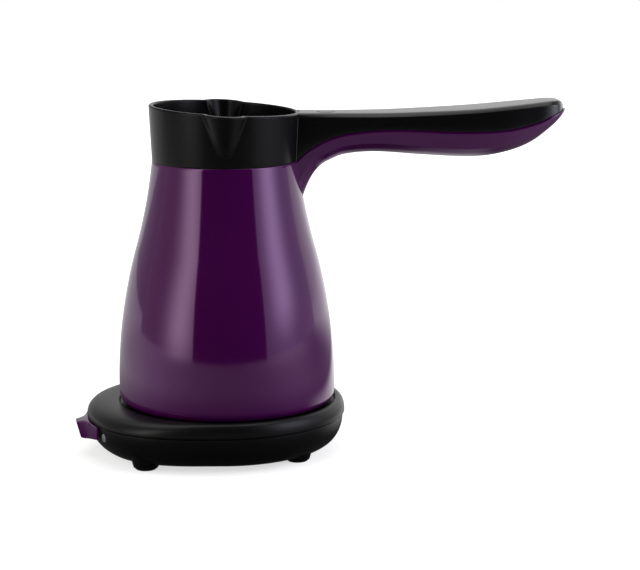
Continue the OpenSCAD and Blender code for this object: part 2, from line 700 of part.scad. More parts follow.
// Ring of the dome at t degrees, 0 at the seam and 90 at the crest, thinned by inset
function dome_ring(inset, top_z, t) = base_ring(inset, full_cos(t, dome_full), crest_r,
    seam_z + (top_z - seam_z) * full_sin(t, dome_full));

// The tub below the seam, thinned by inset, from bottom_z to the seam
module tub(inset, bottom_z, steps) loft(concat(
    [base_ring(inset, 1, 0, seam_z + (inset > seam_step ? 1 : 0))],
    [for (i = [inset > seam_step ? 0 : 1:steps]) let (t = i * 90 / steps)
        base_ring(inset + tub_round * (1 - full_cos(t, tub_full)), 1, 0,
            seam_z - (seam_z - bottom_z) * full_sin(t, tub_full))]));

module base_top() color("#1d1d20") in_base() difference() {
    union() {
        closed_loft(concat(
            [base_ring(0, 0, tower_hole_r, seat_z), base_ring(0, 0, crest_r - 0.8, seat_z),
                base_ring(0, 0, crest_r - 0.8, crest_z - 0.5),
                base_ring(0, 0, crest_r - 0.4, crest_z - 0.12)],
            [for (i = [8:-1:0]) dome_ring(0, crest_z, i * 90 / 8)],
            [for (i = [0:5]) dome_ring(base_wall, ceiling_z, i * 90 / 5)],
            [base_ring(0, 0, tower_hole_r, ceiling_z)]));
        for (p = screw_places) translate([p[0], p[1], post_split_z])
            cylinder(h = ceiling_z - post_split_z + 0.5, r = post_r);
        for (a = ear_angles) rotate(a) translate([ear_r, 0, ceiling_z - flange_t])
            cylinder(h = flange_t + 0.5, r = ear_pad_r - 0.6);
    }
    for (p = screw_places) translate([p[0], p[1], 0])
        cylinder(h = ceiling_z - 1, r = screw_r + fit_gap, $fn = 24);
    for (a = ear_angles) rotate(a) translate([ear_r, 0, 0])
        cylinder(h = ceiling_z + 0.8, r = screw_r + fit_gap, $fn = 24);
}

module base_bottom() color("#1d1d20") in_base() difference() {
    union() {
        difference() {
            tub(seam_step, foot_h, 8);
            tub(seam_step + base_wall, floor_z, 6);
        }
        for (p = foot_places) translate([p[0], p[1], foot_h - 1.2])
            cylinder(h = base_wall + 5, r1 = foot_r + foot_wall, r2 = foot_r + foot_wall + foot_flare);
        for (p = screw_places) translate([p[0], p[1], foot_h])
            cylinder(h = post_split_z - foot_h, r = post_r);
        for (s = [-1, 1]) translate([pad_x, s * pad_y, floor_z - 0.5])
            cylinder(h = pad_top_z - floor_z + 0.5, r = 3.2);
        rotate([0, 0, lamp_angle]) translate([lamp_face_r - 6.5, 0, lamp_z]) rotate([0, 90, 0])
            cylinder(h = 5, r = lens_flange_r + 1.3);
        translate([0, -gland_face_y, gland_z]) rotate([-90, 0, 0])
            cylinder(h = gland_l - gland_flange_t - 0.6, r = gland_flange_r + 0.6);
    }
    for (p = foot_places) translate([p[0], p[1], foot_h - 3])
        cylinder(h = 3 + foot_seat, r = foot_r + fit_gap);
    for (p = screw_places) translate([p[0], p[1], 0]) {
        cylinder(h = 30, r = screw_r + 0.15, $fn = 24);
        cylinder(h = foot_h + screw_recess, r = head_r + 0.3, $fn = 32);
    }
    for (s = [-1, 1]) translate([pad_x, s * pad_y, floor_z - 0.5])
        cylinder(h = 20, r = screw_r + fit_gap, $fn = 24);
    rotate([0, 0, lamp_angle]) translate([0, 0, lamp_z]) rotate([0, 90, 0]) {
        translate([0, 0, 40]) cylinder(h = 40, r = lamp_r + fit_gap);
        translate([0, 0, 40]) cylinder(h = lens_step_r - 40, r = lens_flange_r + fit_gap);
    }
    translate([0, -gland_face_y - 5, gland_z]) rotate([-90, 0, 0]) cylinder(h = 20, r = gland_r + fit_gap);
    translate([pin_x, -stem_w / 2 - 1, lever_pin_z - stem_low - 2.6])
        cube([20, stem_w + 2, stem_low + stem_high + 3.1]);
}

module base_screws() color("lightgray") in_base() for (p = screw_places)
    translate([p[0], p[1], foot_h + screw_recess]) mirror([0, 0, 1]) translate([0, 0, -11]) screw(11);

module feet() color("#2b2b2b") in_base() for (p = foot_places) translate([p[0], p[1], 0])
    cylinder(h = foot_top_z, r = foot_r);

module swivel_ring() color("ivory")
    tube(slip_out_r, slip_in_r, seat_z + 0.1, seat_z + slip_h);

module lower_connector() color("#2a2a2c") in_base() difference() {
    union() {
        translate([0, 0, hub_low_z]) cylinder(h = seat_z - hub_low_z, r = tower_r);
        translate([0, 0, seat_z - 1]) cylinder(h = tower_h - 1 + 1 - 1.5, r = tower_r);
        translate([0, 0, seat_z + tower_h - 2.5]) cylinder(h = 2.5, r1 = tower_r, r2 = tower_r - 1.5);
        translate([0, 0, hub_low_z]) cylinder(h = ceiling_z - hub_low_z, r = hub_r);
        for (a = ear_angles) rotate(a) translate([0, 0, ceiling_z - 2 * flange_t]) {
            translate([ear_r, 0, 0]) cylinder(h = flange_t, r = ear_pad_r);
            translate([hub_r - 1, -3, 0]) cube([ear_r - hub_r, 6, flange_t]);
        }
    }
    translate([0, 0, contact_low_z]) cylinder(h = 30, r = bore_r, $fn = 32);
    tube(slot_out_r, slot_in_r, contact_low_z, seat_z + tower_h + 1);
    for (x = [0, slot_out_r - contact_t, -tower_r + 0.5]) translate([x, 0, 0])
        cylinder(h = contact_low_z + 1, r = wire_r + fit_gap, $fn = 24);
    translate([-tower_r - 1, -earth_w / 2 - fit_gap, contact_low_z])
        cube([1 + contact_t + 0.5 + fit_gap, earth_w + 2 * fit_gap,
            seat_z + tower_h - 3.5 - contact_low_z]);
    for (a = ear_angles) rotate(a) translate([ear_r, 0, 0])
        cylinder(h = 40, r = screw_r + fit_gap, $fn = 24);
}

module connector_contacts() color("gold") in_base() {
    tube(bore_r - fit_gap, bore_r - contact_t, contact_low_z + eps, seat_z + tower_h - 3);
    translate([0, 0, contact_tail_z])
        cylinder(h = contact_low_z + 0.6 - contact_tail_z, r = wire_r, $fn = 24);
    translate([0, 0, contact_low_z + eps]) cylinder(h = contact_t, r = bore_r - fit_gap, $fn = 32);
    tube(slot_out_r - fit_gap, slot_out_r - contact_t, contact_low_z + eps, seat_z + tower_h - 2);
    translate([slot_out_r - contact_t, 0, contact_tail_z])
        cylinder(h = contact_low_z + 0.6 - contact_tail_z, r = wire_r, $fn = 24);
    translate([-tower_r, -earth_w / 2, contact_low_z + fit_gap])
        cube([contact_t + 0.5, earth_w, seat_z + tower_h - 4 - contact_low_z]);
    translate([-tower_r + 0.5, 0, contact_tail_z])
        cylinder(h = contact_low_z + 0.6 - contact_tail_z, r = wire_r, $fn = 24);
}

module lower_connector_screws() color("lightgray") in_base() for (a = ear_angles) rotate(a)
    translate([ear_r, 0, ceiling_z - 2 * flange_t]) mirror([0, 0, 1]) translate([0, 0, -5.5]) screw(5.5);

// ---------------------------------------------------------------- switch

module switch_frame() color("ivory") in_base() difference() {
    union() {
        translate([frame_in, -frame_w / 2, floor_z]) cube([frame_end - frame_in, frame_w, frame_t]);
        for (s = [-1, 1]) {
            y = s > 0 ? ear_y : -ear_y - ear_t;
            translate([pin_x - 9, y, floor_z]) cube([3.6, ear_t, 8]);
            translate([pin_x - 9, y, floor_z + 4]) cube([9, ear_t, lever_pin_z - floor_z - 4]);
            translate([pin_x, y, lever_pin_z]) rotate([-90, 0, 0])
                cylinder(h = ear_t, r = lever_hub_r + 0.2);
            translate([pad_x, s * pad_y, pad_top_z]) cylinder(h = frame_t, r = 3.2);
            translate([pad_x - 3, s > 0 ? frame_w / 2 - 1 : -pad_y, pad_top_z])
                cube([6, pad_y - frame_w / 2 + 1, frame_t]);
            translate([frame_in, s * post_y - 2.2, floor_z]) cube([4.5, 4.4, 5]);
            translate([pad_x - 3, s > 0 ? ear_y : -ear_y - ear_t, floor_z])
                cube([6, ear_t, pad_top_z + frame_t - floor_z]);
        }
    }
    translate([pin_x, -20, lever_pin_z]) rotate([-90, 0, 0])
        cylinder(h = 40, r = pivot_r + pin_gap, $fn = 32);
    for (s = [-1, 1]) {
        translate([pad_x, s * pad_y, 0]) cylinder(h = 30, r = screw_r + fit_gap, $fn = 24);
        translate([post_x - fit_gap, s * post_y - post_w / 2 - fit_gap, floor_z + 1])
            cube([post_t + 2 * fit_gap, post_w + 2 * fit_gap, 20]);
    }
}

module switch_screws() color("lightgray") in_base() for (s = [-1, 1])
    translate([pad_x, s * pad_y, floor_z - 0.4]) screw(pad_top_z + frame_t - floor_z + 0.4);

module pivot_pin() color("lightgray") in_base() translate([pin_x, -frame_w / 2, lever_pin_z])
    rotate([-90, 0, 0]) cylinder(h = frame_w, r = pivot_r, $fn = 32);

module switch_terminals() color("gold") in_base() for (s = [-1, 1]) {
    translate([post_x, s * post_y - post_w / 2, floor_z + 1 + eps])
        cube([post_t, post_w, fixed_low_z + post_t - floor_z - 1]);
    translate([post_x, s * post_y - post_w / 2, fixed_low_z]) cube([6, post_w, post_t]);
    translate([post_x + 5, s * post_y, fixed_low_z - 0.2]) cylinder(h = 0.4, r = 0.9, $fn = 24);
}

module detent_spring() color("silver") in_base()
    translate([pin_x, leaf_w / 2, lever_pin_z]) rotate([90, 0, 0]) linear_extrude(leaf_w) {
        low = floor_z + frame_t - lever_pin_z;
        intersection() {
            difference() {
                circle(r = detent_r + 0.4 + leaf_t);
                circle(r = detent_r + 0.4);
            }
            polygon([[0, 0], [-9, -8], [0, -12], [5.5, -8]]);
        }
        translate([-4.6, low]) square([leaf_t, -3.6 - low]);
        translate([-9.6, low]) square([5.2, leaf_t]);
    }

// Outline of the lever's outer part in plan: how far it stands out from the wall at each half width
lever_flare = [[0, lever_out], [0.98, lever_out], [1, lever_out - 0.5], [1.02, lever_out - 1],
    [1.55, lever_out * 0.47], [2.35, lever_out * 0.23], [3.45, lever_out * 0.13],
    [4.7, lever_out * 0.09], [lever_foot_w / lever_tip_w, 0.4]];
lever_ys = [1, 1.04, 1.2, 1.4, 1.7, 2.1, 2.6, 3.2, 3.9, 4.7, 5.4, lever_foot_w / lever_tip_w];
function lever_point(k, side) = let (y = lever_tip_w / 2 * k)
    [sqrt(pow(lobe_r, 2) - y * y) + curve(lever_flare, k), side * y];

module switch_lever() color("#4a2350") in_base() difference() {
    union() {
        difference() {
            intersection() {
                linear_extrude(lever_top_z) polygon(concat(
                    [[pin_x + 4, -lever_foot_w / 2], [pin_x + 4, lever_foot_w / 2]],
                    [for (i = [len(lever_ys) - 1:-1:0]) lever_point(lever_ys[i], 1)],
                    [[lever_tip_x, lever_tip_w / 2 - 0.6], [lever_tip_x, -lever_tip_w / 2 + 0.6]],
                    [for (k = lever_ys) lever_point(k, -1)]));
                translate([0, 30, 0]) rotate([90, 0, 0]) linear_extrude(60) polygon([
                    [pin_x, lever_low_z], [lever_tip_x - 2.1, lever_low_z], [lever_tip_x, lever_top_z - 0.8],
                    [lobe_r, lever_top_z], [pin_x, lever_top_z]]);
                rotate([90, 0, 90]) linear_extrude(90) polygon([
                    [-lever_foot_w / 2, lever_top_z - lever_foot_h], [-stem_w / 2, lever_low_z],
                    [stem_w / 2, lever_low_z], [lever_foot_w / 2, lever_top_z - lever_foot_h],
                    [lever_foot_w / 2, lever_top_z], [-lever_foot_w / 2, lever_top_z]]);
            }
            translate([0, 0, -1]) cylinder(h = 40, r = lever_wall_r, $fn = 128);
        }
        translate([pin_x, -stem_w / 2, lever_pin_z - stem_low])
            cube([lever_wall_r - pin_x + 1, stem_w, stem_low + stem_high]);
        translate([pin_x, -hub_w / 2, lever_pin_z]) rotate([-90, 0, 0])
            cylinder(h = hub_w, r = lever_hub_r);
        translate([pin_x - arm_in, -arm_w / 2, lever_pin_z - arm_low])
            cube([arm_in, arm_w, arm_low + arm_high]);
        translate([pin_x, -leaf_w / 2 + 0.2, lever_pin_z - detent_r + nose_r]) rotate([-90, 0, 0])
            cylinder(h = leaf_w - 0.4, r = nose_r, $fn = 24);
        translate([pin_x - nose_r, -leaf_w / 2 + 0.2, lever_pin_z - detent_r + nose_r])
            cube([2 * nose_r, leaf_w - 0.4, detent_r - nose_r]);
    }
    translate([pin_x, -20, lever_pin_z]) rotate([-90, 0, 0])
        cylinder(h = 40, r = pivot_r + pin_gap, $fn = 32);
}

module moving_contact() color("gold") in_base()
    translate([pin_x - arm_in - 1, -bridge_w / 2, lever_pin_z + arm_high])
        cube([bridge_l, bridge_w, bridge_t]);

// ---------------------------------------------------------------- lamp, cord inlet, terminals and leads

module on_lamp_axis() in_base() rotate([0, 0, lamp_angle]) translate([0, 0, lamp_z]) rotate([0, 90, 0])
    children();

module lamp_lens() color("lightgray") on_lamp_axis() {
    translate([0, 0, lens_step_r - lens_flange_t]) cylinder(h = lens_flange_t, r = lens_flange_r);
    translate([0, 0, lens_step_r - eps]) cylinder(h = lamp_face_r - lens_step_r, r = lamp_r);
}

module neon_lamp() color("orange") on_lamp_axis()
    translate([0, 0, lens_step_r - lens_flange_t - 0.3 - lamp_tube_l]) {
        cylinder(h = lamp_tube_l - lamp_tube_r, r = lamp_tube_r, $fn = 32);
        translate([0, 0, lamp_tube_l - lamp_tube_r]) sphere(r = lamp_tube_r, $fn = 32);
    }

module lamp_holder() color("#1c1c1e") on_lamp_axis()
    tube(holder_r, lamp_tube_r + fit_gap, lens_step_r - lens_flange_t - holder_l,
        lens_step_r - lens_flange_t);

module cord_gland() color("#1a1a1a") in_base() translate([0, -gland_face_y, gland_z]) rotate([-90, 0, 0])
    difference() {
        union() {
            translate([0, 0, -gland_flange_t]) cylinder(h = gland_flange_t, r = gland_flange_r);
            translate([0, 0, -eps]) cylinder(h = gland_l - gland_flange_t, r = gland_r);
        }
        translate([0, 0, -5]) cylinder(h = 20, r = cord_hole_r);
    }

module terminal_block() color("ivory") in_base() difference() {
    translate([-block_w / 2, -block_y - block_l / 2, floor_z]) cube([block_w, block_l, block_h]);
    for (i = [-1:1]) {
        translate([i * cell_x, -block_y - 10, cell_z]) rotate([-90, 0, 0])
            cylinder(h = 20, r = 1.4, $fn = 24);
        translate([i * cell_x, -block_y, cell_z]) cylinder(h = 20, r = 1.8, $fn = 24);
    }
}

module terminal_screws() color("gold") in_base() for (i = [-1:1])
    translate([i * cell_x, -block_y, cell_z + 1.6])
        cylinder(h = floor_z + block_h - cell_z - 1.2, r = 1.8 - fit_gap, $fn = 24);

module base_wires() color("sienna") in_base() {
    from_y = -block_y + block_l / 2;
    low_z = contact_tail_z - 1.5;
    post_end = floor_z + 7.5;
    wire([[cell_x, from_y - 2, cell_z], [cell_x, from_y + 4, low_z], [slot_out_r - contact_t, 0, low_z],
        [slot_out_r - contact_t, 0, contact_tail_z]], wire_r);
    wire([[-cell_x, from_y - 2, cell_z], [-cell_x, from_y + 4, low_z], [-tower_r + 0.5, 0, low_z],
        [-tower_r + 0.5, 0, contact_tail_z]], wire_r);
    wire([[0, from_y - 2, cell_z], [0, from_y + 3, cell_z], [22, from_y + 6, cell_z],
        [post_x - 4, -post_y, post_end], [post_x, -post_y, post_end]], wire_r);
    wire([[post_x, post_y, post_end], [post_x - 5, post_y, post_end], [6, 4, low_z], [0, 0, low_z],
        [0, 0, contact_tail_z]], wire_r);
    lamp_end = lens_step_r - lens_flange_t - 0.3 - lamp_tube_l;
    lamp_way = [cos(lamp_angle), sin(lamp_angle), 0];
    lamp_p = lamp_end * lamp_way + [0, 0, lamp_z];
    wire([lamp_p, lamp_p - 4 * lamp_way, [post_x - 1, post_y + 5, post_end + 3],
        [post_x - 1, post_y, post_end + 3], [post_x, post_y, post_end + 3]], 0.5);
}

outer_shell();
collar();
liner();
liner_gasket();
heater_plate();
heater_element();
thermostat();
thermostat_clip();
thermal_fuse();
pot_base();
pot_base_screws();
upper_connector();
connector_pins();
upper_connector_screws();
pot_wires();
handle_top();
handle_grip();
handle_cap();
handle_screw();
grip_screws();
swivel_ring();
base_top();
base_bottom();
base_screws();
feet();
lower_connector();
connector_contacts();
lower_connector_screws();
switch_frame();
switch_screws();
pivot_pin();
switch_terminals();
detent_spring();
lamp_lens();
neon_lamp();
lamp_holder();
cord_gland();
terminal_block();
terminal_screws();
base_wires();
switch_lever();
moving_contact();
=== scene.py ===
"""Looks of an electric coffee pot on its cordless base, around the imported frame.

Lengths are written in millimetres, as in the part's source, and become metres when a mesh is made.
+X runs along the handle, +Z is up, z = 0 is the table and the pot's axis is the Z axis.
"""
import json
import math

import bmesh
import bpy
from mathutils import Euler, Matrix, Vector


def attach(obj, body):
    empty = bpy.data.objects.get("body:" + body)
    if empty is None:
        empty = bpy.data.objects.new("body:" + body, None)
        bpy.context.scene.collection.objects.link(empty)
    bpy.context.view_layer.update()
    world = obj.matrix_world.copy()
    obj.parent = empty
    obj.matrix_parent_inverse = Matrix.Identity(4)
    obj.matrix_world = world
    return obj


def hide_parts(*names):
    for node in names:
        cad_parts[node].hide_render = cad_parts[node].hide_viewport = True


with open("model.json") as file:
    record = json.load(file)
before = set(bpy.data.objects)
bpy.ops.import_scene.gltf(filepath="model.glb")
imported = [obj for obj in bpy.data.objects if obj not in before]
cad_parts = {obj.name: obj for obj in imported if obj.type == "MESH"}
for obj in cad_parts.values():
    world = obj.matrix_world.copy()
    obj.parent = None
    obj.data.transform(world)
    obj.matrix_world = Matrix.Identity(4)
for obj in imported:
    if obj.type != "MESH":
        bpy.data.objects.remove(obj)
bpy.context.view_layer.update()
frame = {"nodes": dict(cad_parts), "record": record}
nodes = frame["nodes"]
MM = 0.001

# ---------------------------------------------------------------- sizes of the part's source, mm

POT_R, BODY_H, WAIST_R, WIDEST_H = 52.5, 117.0, 33.5, 8.7
BELLY_ARC, NECK_ARC, BOTTOM_ROUND, SHELL_WALL = 244.5, 258.5, 4.0, 2.2
COLLAR_H, COLLAR_FLARE, COLLAR_WALL, RIM_TILT = 25.0, 1.2, 2.2, math.radians(3.2)
SPOUT_W, SPOUT_OUT, SPOUT_H, SPOUT_FOOT_W = 23.0, 8.6, 19.0, 8.0
HANDLE_L, ROOT_HW, WIDE_HW, BEVEL_H, BEVEL_W = 129.9, 11.0, 15.0, 1.9, 2.2
CAP_R, CAP_X, CAP_T = 4.6, 48.4, 2.0
BASE_R, LOBE_OUT, LOBE_FLAT, LOBE_END, BASE_TURN = 57.4, 11.0, 22.4, 79.0, 8.6
FOOT_H, TUB_H, TUB_ROUND, SEAM_STEP, DOME_H, CREST_R = 2.1, 16.0, 13.2, 0.8, 7.0, 53.4
DOME_FULL, TUB_FULL, BASE_WALL, SEAT_DEPTH, POT_STAND = 2.5, 2.3, 2.0, 1.8, 1.1
FOOT_R, FOOT_SEAT = 5.0, 1.0
TOWER_R, PIN_X, PIN_Z = 15.0, 57.0, 12.0
LEVER_OUT, LEVER_TIP_W, LEVER_FOOT_W, LEVER_TIP_H, LEVER_FOOT_H = 5.9, 6.4, 39.0, 8.1, 6.1
LAMP_ANGLE, LAMP_R, GLAND_R = math.radians(20), 2.2, 4.6
FIT_GAP, SPIGOT_H = 0.05, 5.0

SEAM_Z = FOOT_H + TUB_H
CREST_Z = SEAM_Z + DOME_H
SEAT_Z = CREST_Z - SEAT_DEPTH
POT_Z = SEAT_Z + POT_STAND
WAIST_H = WIDEST_H + math.sqrt((BELLY_ARC + NECK_ARC) ** 2 - (WAIST_R + NECK_ARC + BELLY_ARC - POT_R) ** 2)
NECK_R = WAIST_R + NECK_ARC - math.sqrt(NECK_ARC ** 2 - (WAIST_H - BODY_H) ** 2)
TURN_H = WIDEST_H + BELLY_ARC * (WAIST_H - WIDEST_H) / (BELLY_ARC + NECK_ARC)
RIM_H = BODY_H + COLLAR_H
COVER_R, RECESS_H, PLATE_R, LIP_H = 46.7, 3.0, 38.0, 5.2
COLLAR_FOOT_R = NECK_R - 0.1
LEDGE_H = BODY_H + 2.5
LEDGE_R = NECK_R - 3.4
HANDLE_X = NECK_R - 1.3
HANDLE_Z = POT_Z + RIM_H - math.tan(RIM_TILT) * NECK_R
LOBE_R = BASE_R + LOBE_OUT
FOOT_PLACES = [(44.3, 34), (44.3, -34), (-28.5, 34), (-28.5, -34)]
LEVER_WALL_R = LOBE_R - SEAM_STEP + 0.4
LEVER_TOP_Z = SEAM_Z - 0.8
LEVER_DROP = 0.8
LEVER_LOW_Z = LEVER_TOP_Z - LEVER_DROP - LEVER_TIP_H
LAMP_Z = FOOT_H + 10.8
LAMP_FACE_R = LOBE_R - 1.2
GLAND_Z = FOOT_H + 8

# The handle's curves over its length as a share. Its tip is up to 2.5 mm fuller here than in the source.
TOP_LINE = [(-0.05, 0), (0.29, -0.1), (0.475, 0.6), (0.66, 1.8), (0.85, 4), (0.945, 5.2), (0.968, 5.1),
            (0.982, 4.3), (0.992, 2.7)]
SPLIT_LINE = [(-0.05, -26), (0, -22.4), (0.046, -17.4), (0.13, -11.6), (0.23, -8.8), (0.37, -7.6),
              (0.6, -8.6), (0.78, -7.7), (0.89, -4.4), (0.95, -1.2), (1, 1.2)]
UNDER_LINE = [(-0.05, -72), (0, -52), (0.028, -39.9), (0.047, -33.6), (0.065, -29.4), (0.088, -25.9),
              (0.115, -23.5), (0.175, -20.3), (0.29, -19), (0.46, -20.4), (0.64, -21.4), (0.75, -19.9),
              (0.86, -15.2), (0.95, -6.7), (1, 0.4)]
WIDTH_LINE = [(-0.05, ROOT_HW), (0.17, ROOT_HW), (0.38, (ROOT_HW + WIDE_HW) / 2), (0.6, WIDE_HW),
              (0.76, WIDE_HW), (0.86, WIDE_HW * 0.9), (0.93, WIDE_HW * 0.79), (0.97, WIDE_HW * 0.62),
              (0.99, WIDE_HW * 0.38), (1, WIDE_HW * 0.06)]
TOP_END, TOP_NOSE = 0.992, 0.96
SIDE_TAPER, CREASE_TAPER, UNDER_TAPER = 0.96, 0.9, 0.5
LEVER_K_END = LEVER_FOOT_W / LEVER_TIP_W
LEVER_FLARE = [(0, LEVER_OUT), (0.98, LEVER_OUT), (1, LEVER_OUT - 0.5), (1.02, LEVER_OUT - 1),
               (1.55, LEVER_OUT * 0.47), (2.35, LEVER_OUT * 0.23), (3.45, LEVER_OUT * 0.13),
               (4.7, LEVER_OUT * 0.09), (LEVER_K_END, 0.4)]

# ---------------------------------------------------------------- small shapes that only the scene has, mm

TINY_R = 0.001  # a profile's ends on the axis, so that no face has two points in one place
SPOUT_BLEND = 1.7  # how softly a spout's edge joins the collar
RIM_ROUND, COLLAR_LINE = 0.75, 0.25  # the collar's rounded rim, and the line between collar and pot
SHELL_EDGE = 0.3  # the pot shell's upper edge
TOP_SIDE, TOP_LEAN = 0.985, 0.05  # the handle's black sides: their share of its width, and their slope
ROOT_LEAN, ROOT_LEAN_END = 2.6, 0.12  # lean of the purple sides at the handle's root, gone at this share
ROOT_SHARE, HANDLE_SINK = 0.16, 0.35  # up to this share the handle is fitted to the pot, sunk in by so much
BEAD_R = 0.42  # rounded edge where the handle meets the collar
CAP_ROUND = 0.35  # edge of the plug over the handle's screw
GROOVE, GROOVE_TOP, GROOVE_LOW = 1.0, 0.6, 0.34  # dark seam between the base's shells: depth, top and bottom
LAMP_GAP = 0.42  # dark ring round the lamp
LENS_DOME, LENS_SUNK = 0.42, 0.3  # rise of the lamp's lens, and how deep its edge sits
LEVER_LEAN = 2.1  # how far the lever's tip leans in at its lower edge

BASE_STEPS = 288  # points round the base
SHARP = 32  # angle over which an edge is shaded sharp, degrees
CLOUD_SCALE, WAVE_SCALE = 45.0, 120.0  # colour clouds and slow waves per metre


def curve(points, x):
    """The source's smooth curve through points with rising x, read at x."""
    i = 0
    while i < len(points) - 2 and x >= points[i + 1][0]:
        i += 1

    def slope(j):
        """Slope at point j, taken from its neighbours."""
        a, b = max(j - 1, 0), min(j + 1, len(points) - 1)
        return (points[b][1] - points[a][1]) / (points[b][0] - points[a][0])
    w = points[i + 1][0] - points[i][0]
    t = (x - points[i][0]) / w
    return ((2 * t ** 3 - 3 * t * t + 1) * points[i][1] + (t ** 3 - 2 * t * t + t) * w * slope(i)
            + (3 * t * t - 2 * t ** 3) * points[i + 1][1] + (t ** 3 - t * t) * w * slope(i + 1))


def base_outline(a):
    """Radius of the base's outline at angle a from the lever, in radians."""
    a = abs(math.degrees(math.remainder(a, math.tau)))
    t = min(1, max(0, (a - LOBE_FLAT) / (LOBE_END - LOBE_FLAT)))
    return BASE_R + LOBE_OUT * (1 + math.cos(math.pi * t)) / 2


# ---------------------------------------------------------------- meshes

def in_base(p):
    """A point of the base's frame, whose +X points at the lever, in the row frame."""
    a = math.pi + math.radians(BASE_TURN)
    return (p[0] * math.cos(a) - p[1] * math.sin(a), p[0] * math.sin(a) + p[1] * math.cos(a), p[2])


def smooth(mesh, sharp):
    """Smooth shading, apart from edges over an angle in degrees."""
    mesh.polygons.foreach_set("use_smooth", [True] * len(mesh.polygons))
    mesh.set_sharp_from_angle(angle=math.radians(sharp))


def piece(name, points, faces, body, slot, replaced=(), sharp=SHARP):
    """A smooth mesh of points in mm, which rides on a body and takes its finish from a slot."""
    mesh = bpy.data.meshes.new(name)
    mesh.from_pydata([[c * MM for c in p] for p in points], [], faces)
    mesh.update()
    bm = bmesh.new()
    bm.from_mesh(mesh)
    bmesh.ops.remove_doubles(bm, verts=bm.verts, dist=2e-6)
    bmesh.ops.dissolve_degenerate(bm, dist=1e-6, edges=bm.edges)
    bmesh.ops.recalc_face_normals(bm, faces=bm.faces)
    bm.to_mesh(mesh)
    bm.free()
    smooth(mesh, sharp)
    obj = bpy.data.objects.new(name, mesh)
    bpy.context.scene.collection.objects.link(obj)
    mesh.materials.append(MATERIALS[slot])
    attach(obj, body)
    if replaced:
        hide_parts(*replaced)
    return obj


def skin(rings, closed=False):
    """Points and faces through rings of equal length. A closed skin's last ring joins the first; an open
    skin has both ends capped."""
    n, m = len(rings[0]), len(rings)
    points = [p for ring in rings for p in ring]
    faces = [[j * n + i, j * n + (i + 1) % n, (j + 1) % m * n + (i + 1) % n, (j + 1) % m * n + i]
             for j in range(m if closed else m - 1) for i in range(n)]
    if not closed:
        for j, turn in ((0, 1), (m - 1, -1)):
            centre = [sum(rings[j][i][k] for i in range(n)) / n for k in range(3)]
            points.append(centre)
            faces += [[len(points) - 1, j * n + (i + (turn > 0)) % n, j * n + (i + (turn < 0)) % n]
                      for i in range(n)]
    return points, faces


def lathe(profile, n, centre=(0, 0), z0=0.0):
    """A closed profile (r, z) turned about an upright axis in n steps."""
    rings = [[(centre[0] + r * math.cos(math.tau * i / n), centre[1] + r * math.sin(math.tau * i / n), z0 + z)
              for i in range(n)] for r, z in profile]
    return skin(rings, closed=True)


def merge(parts):
    """One list of points and faces from several."""
    points, faces = [], []
    for p, f in parts:
        faces += [[i + len(points) for i in face] for face in f]
        points += p
    return points, faces


def rounded(poly, radii, steps=5):
    """An open line of points with its inner corners rounded, as an arc of steps + 1 points each."""
    out = [poly[0]]
    for i in range(1, len(poly) - 1):
        p, a, b = Vector(poly[i]), Vector(poly[i - 1]), Vector(poly[i + 1])
        la, lb = (a - p).length, (b - p).length
        if la < 1e-6 or lb < 1e-6:
            out += [tuple(p)] * (steps + 1)
            continue
        u, v = (a - p) / la, (b - p) / lb
        half = math.acos(max(-1, min(1, u.dot(v)))) / 2
        d = min(radii[i] / max(math.tan(half), 1e-4), la * 0.49, lb * 0.49)
        s, e = p + u * d, p + v * d
        for k in range(steps + 1):
            t = k / steps
            w = 2 * t * (1 - t) * (0.5 + 0.5 * math.sin(half))
            q = s * (1 - t) ** 2 + e * t ** 2 + p * w + (s + e) / 2 * (2 * t * (1 - t) - w)
            out.append(tuple(q))
    return out + [poly[-1]]


def arc(cx, cz, r, a0, a1, steps):
    """Points (r, z) of an arc in a profile, angles in degrees."""
    return [(cx + r * math.cos(math.radians(a0 + (a1 - a0) * i / steps)),
             cz + r * math.sin(math.radians(a0 + (a1 - a0) * i / steps))) for i in range(steps + 1)]


# ---------------------------------------------------------------- materials

def node_tree(name):
    """A new material, its node tree and its principled shader."""
    mat = bpy.data.materials.new(name)
    mat.use_nodes = True
    tree = mat.node_tree
    shader = next(n for n in tree.nodes if n.type == "BSDF_PRINCIPLED")
    return mat, tree, shader


def add(tree, kind, inputs=None, **values):
    """A new node with its settings; each input is a value or another node's socket."""
    node = tree.nodes.new(kind)
    for key, value in values.items():
        setattr(node, key, value)
    for key, value in (inputs or {}).items():
        if isinstance(value, bpy.types.NodeSocket):
            tree.links.new(value, node.inputs[key])
        else:
            node.inputs[key].default_value = value
    return node


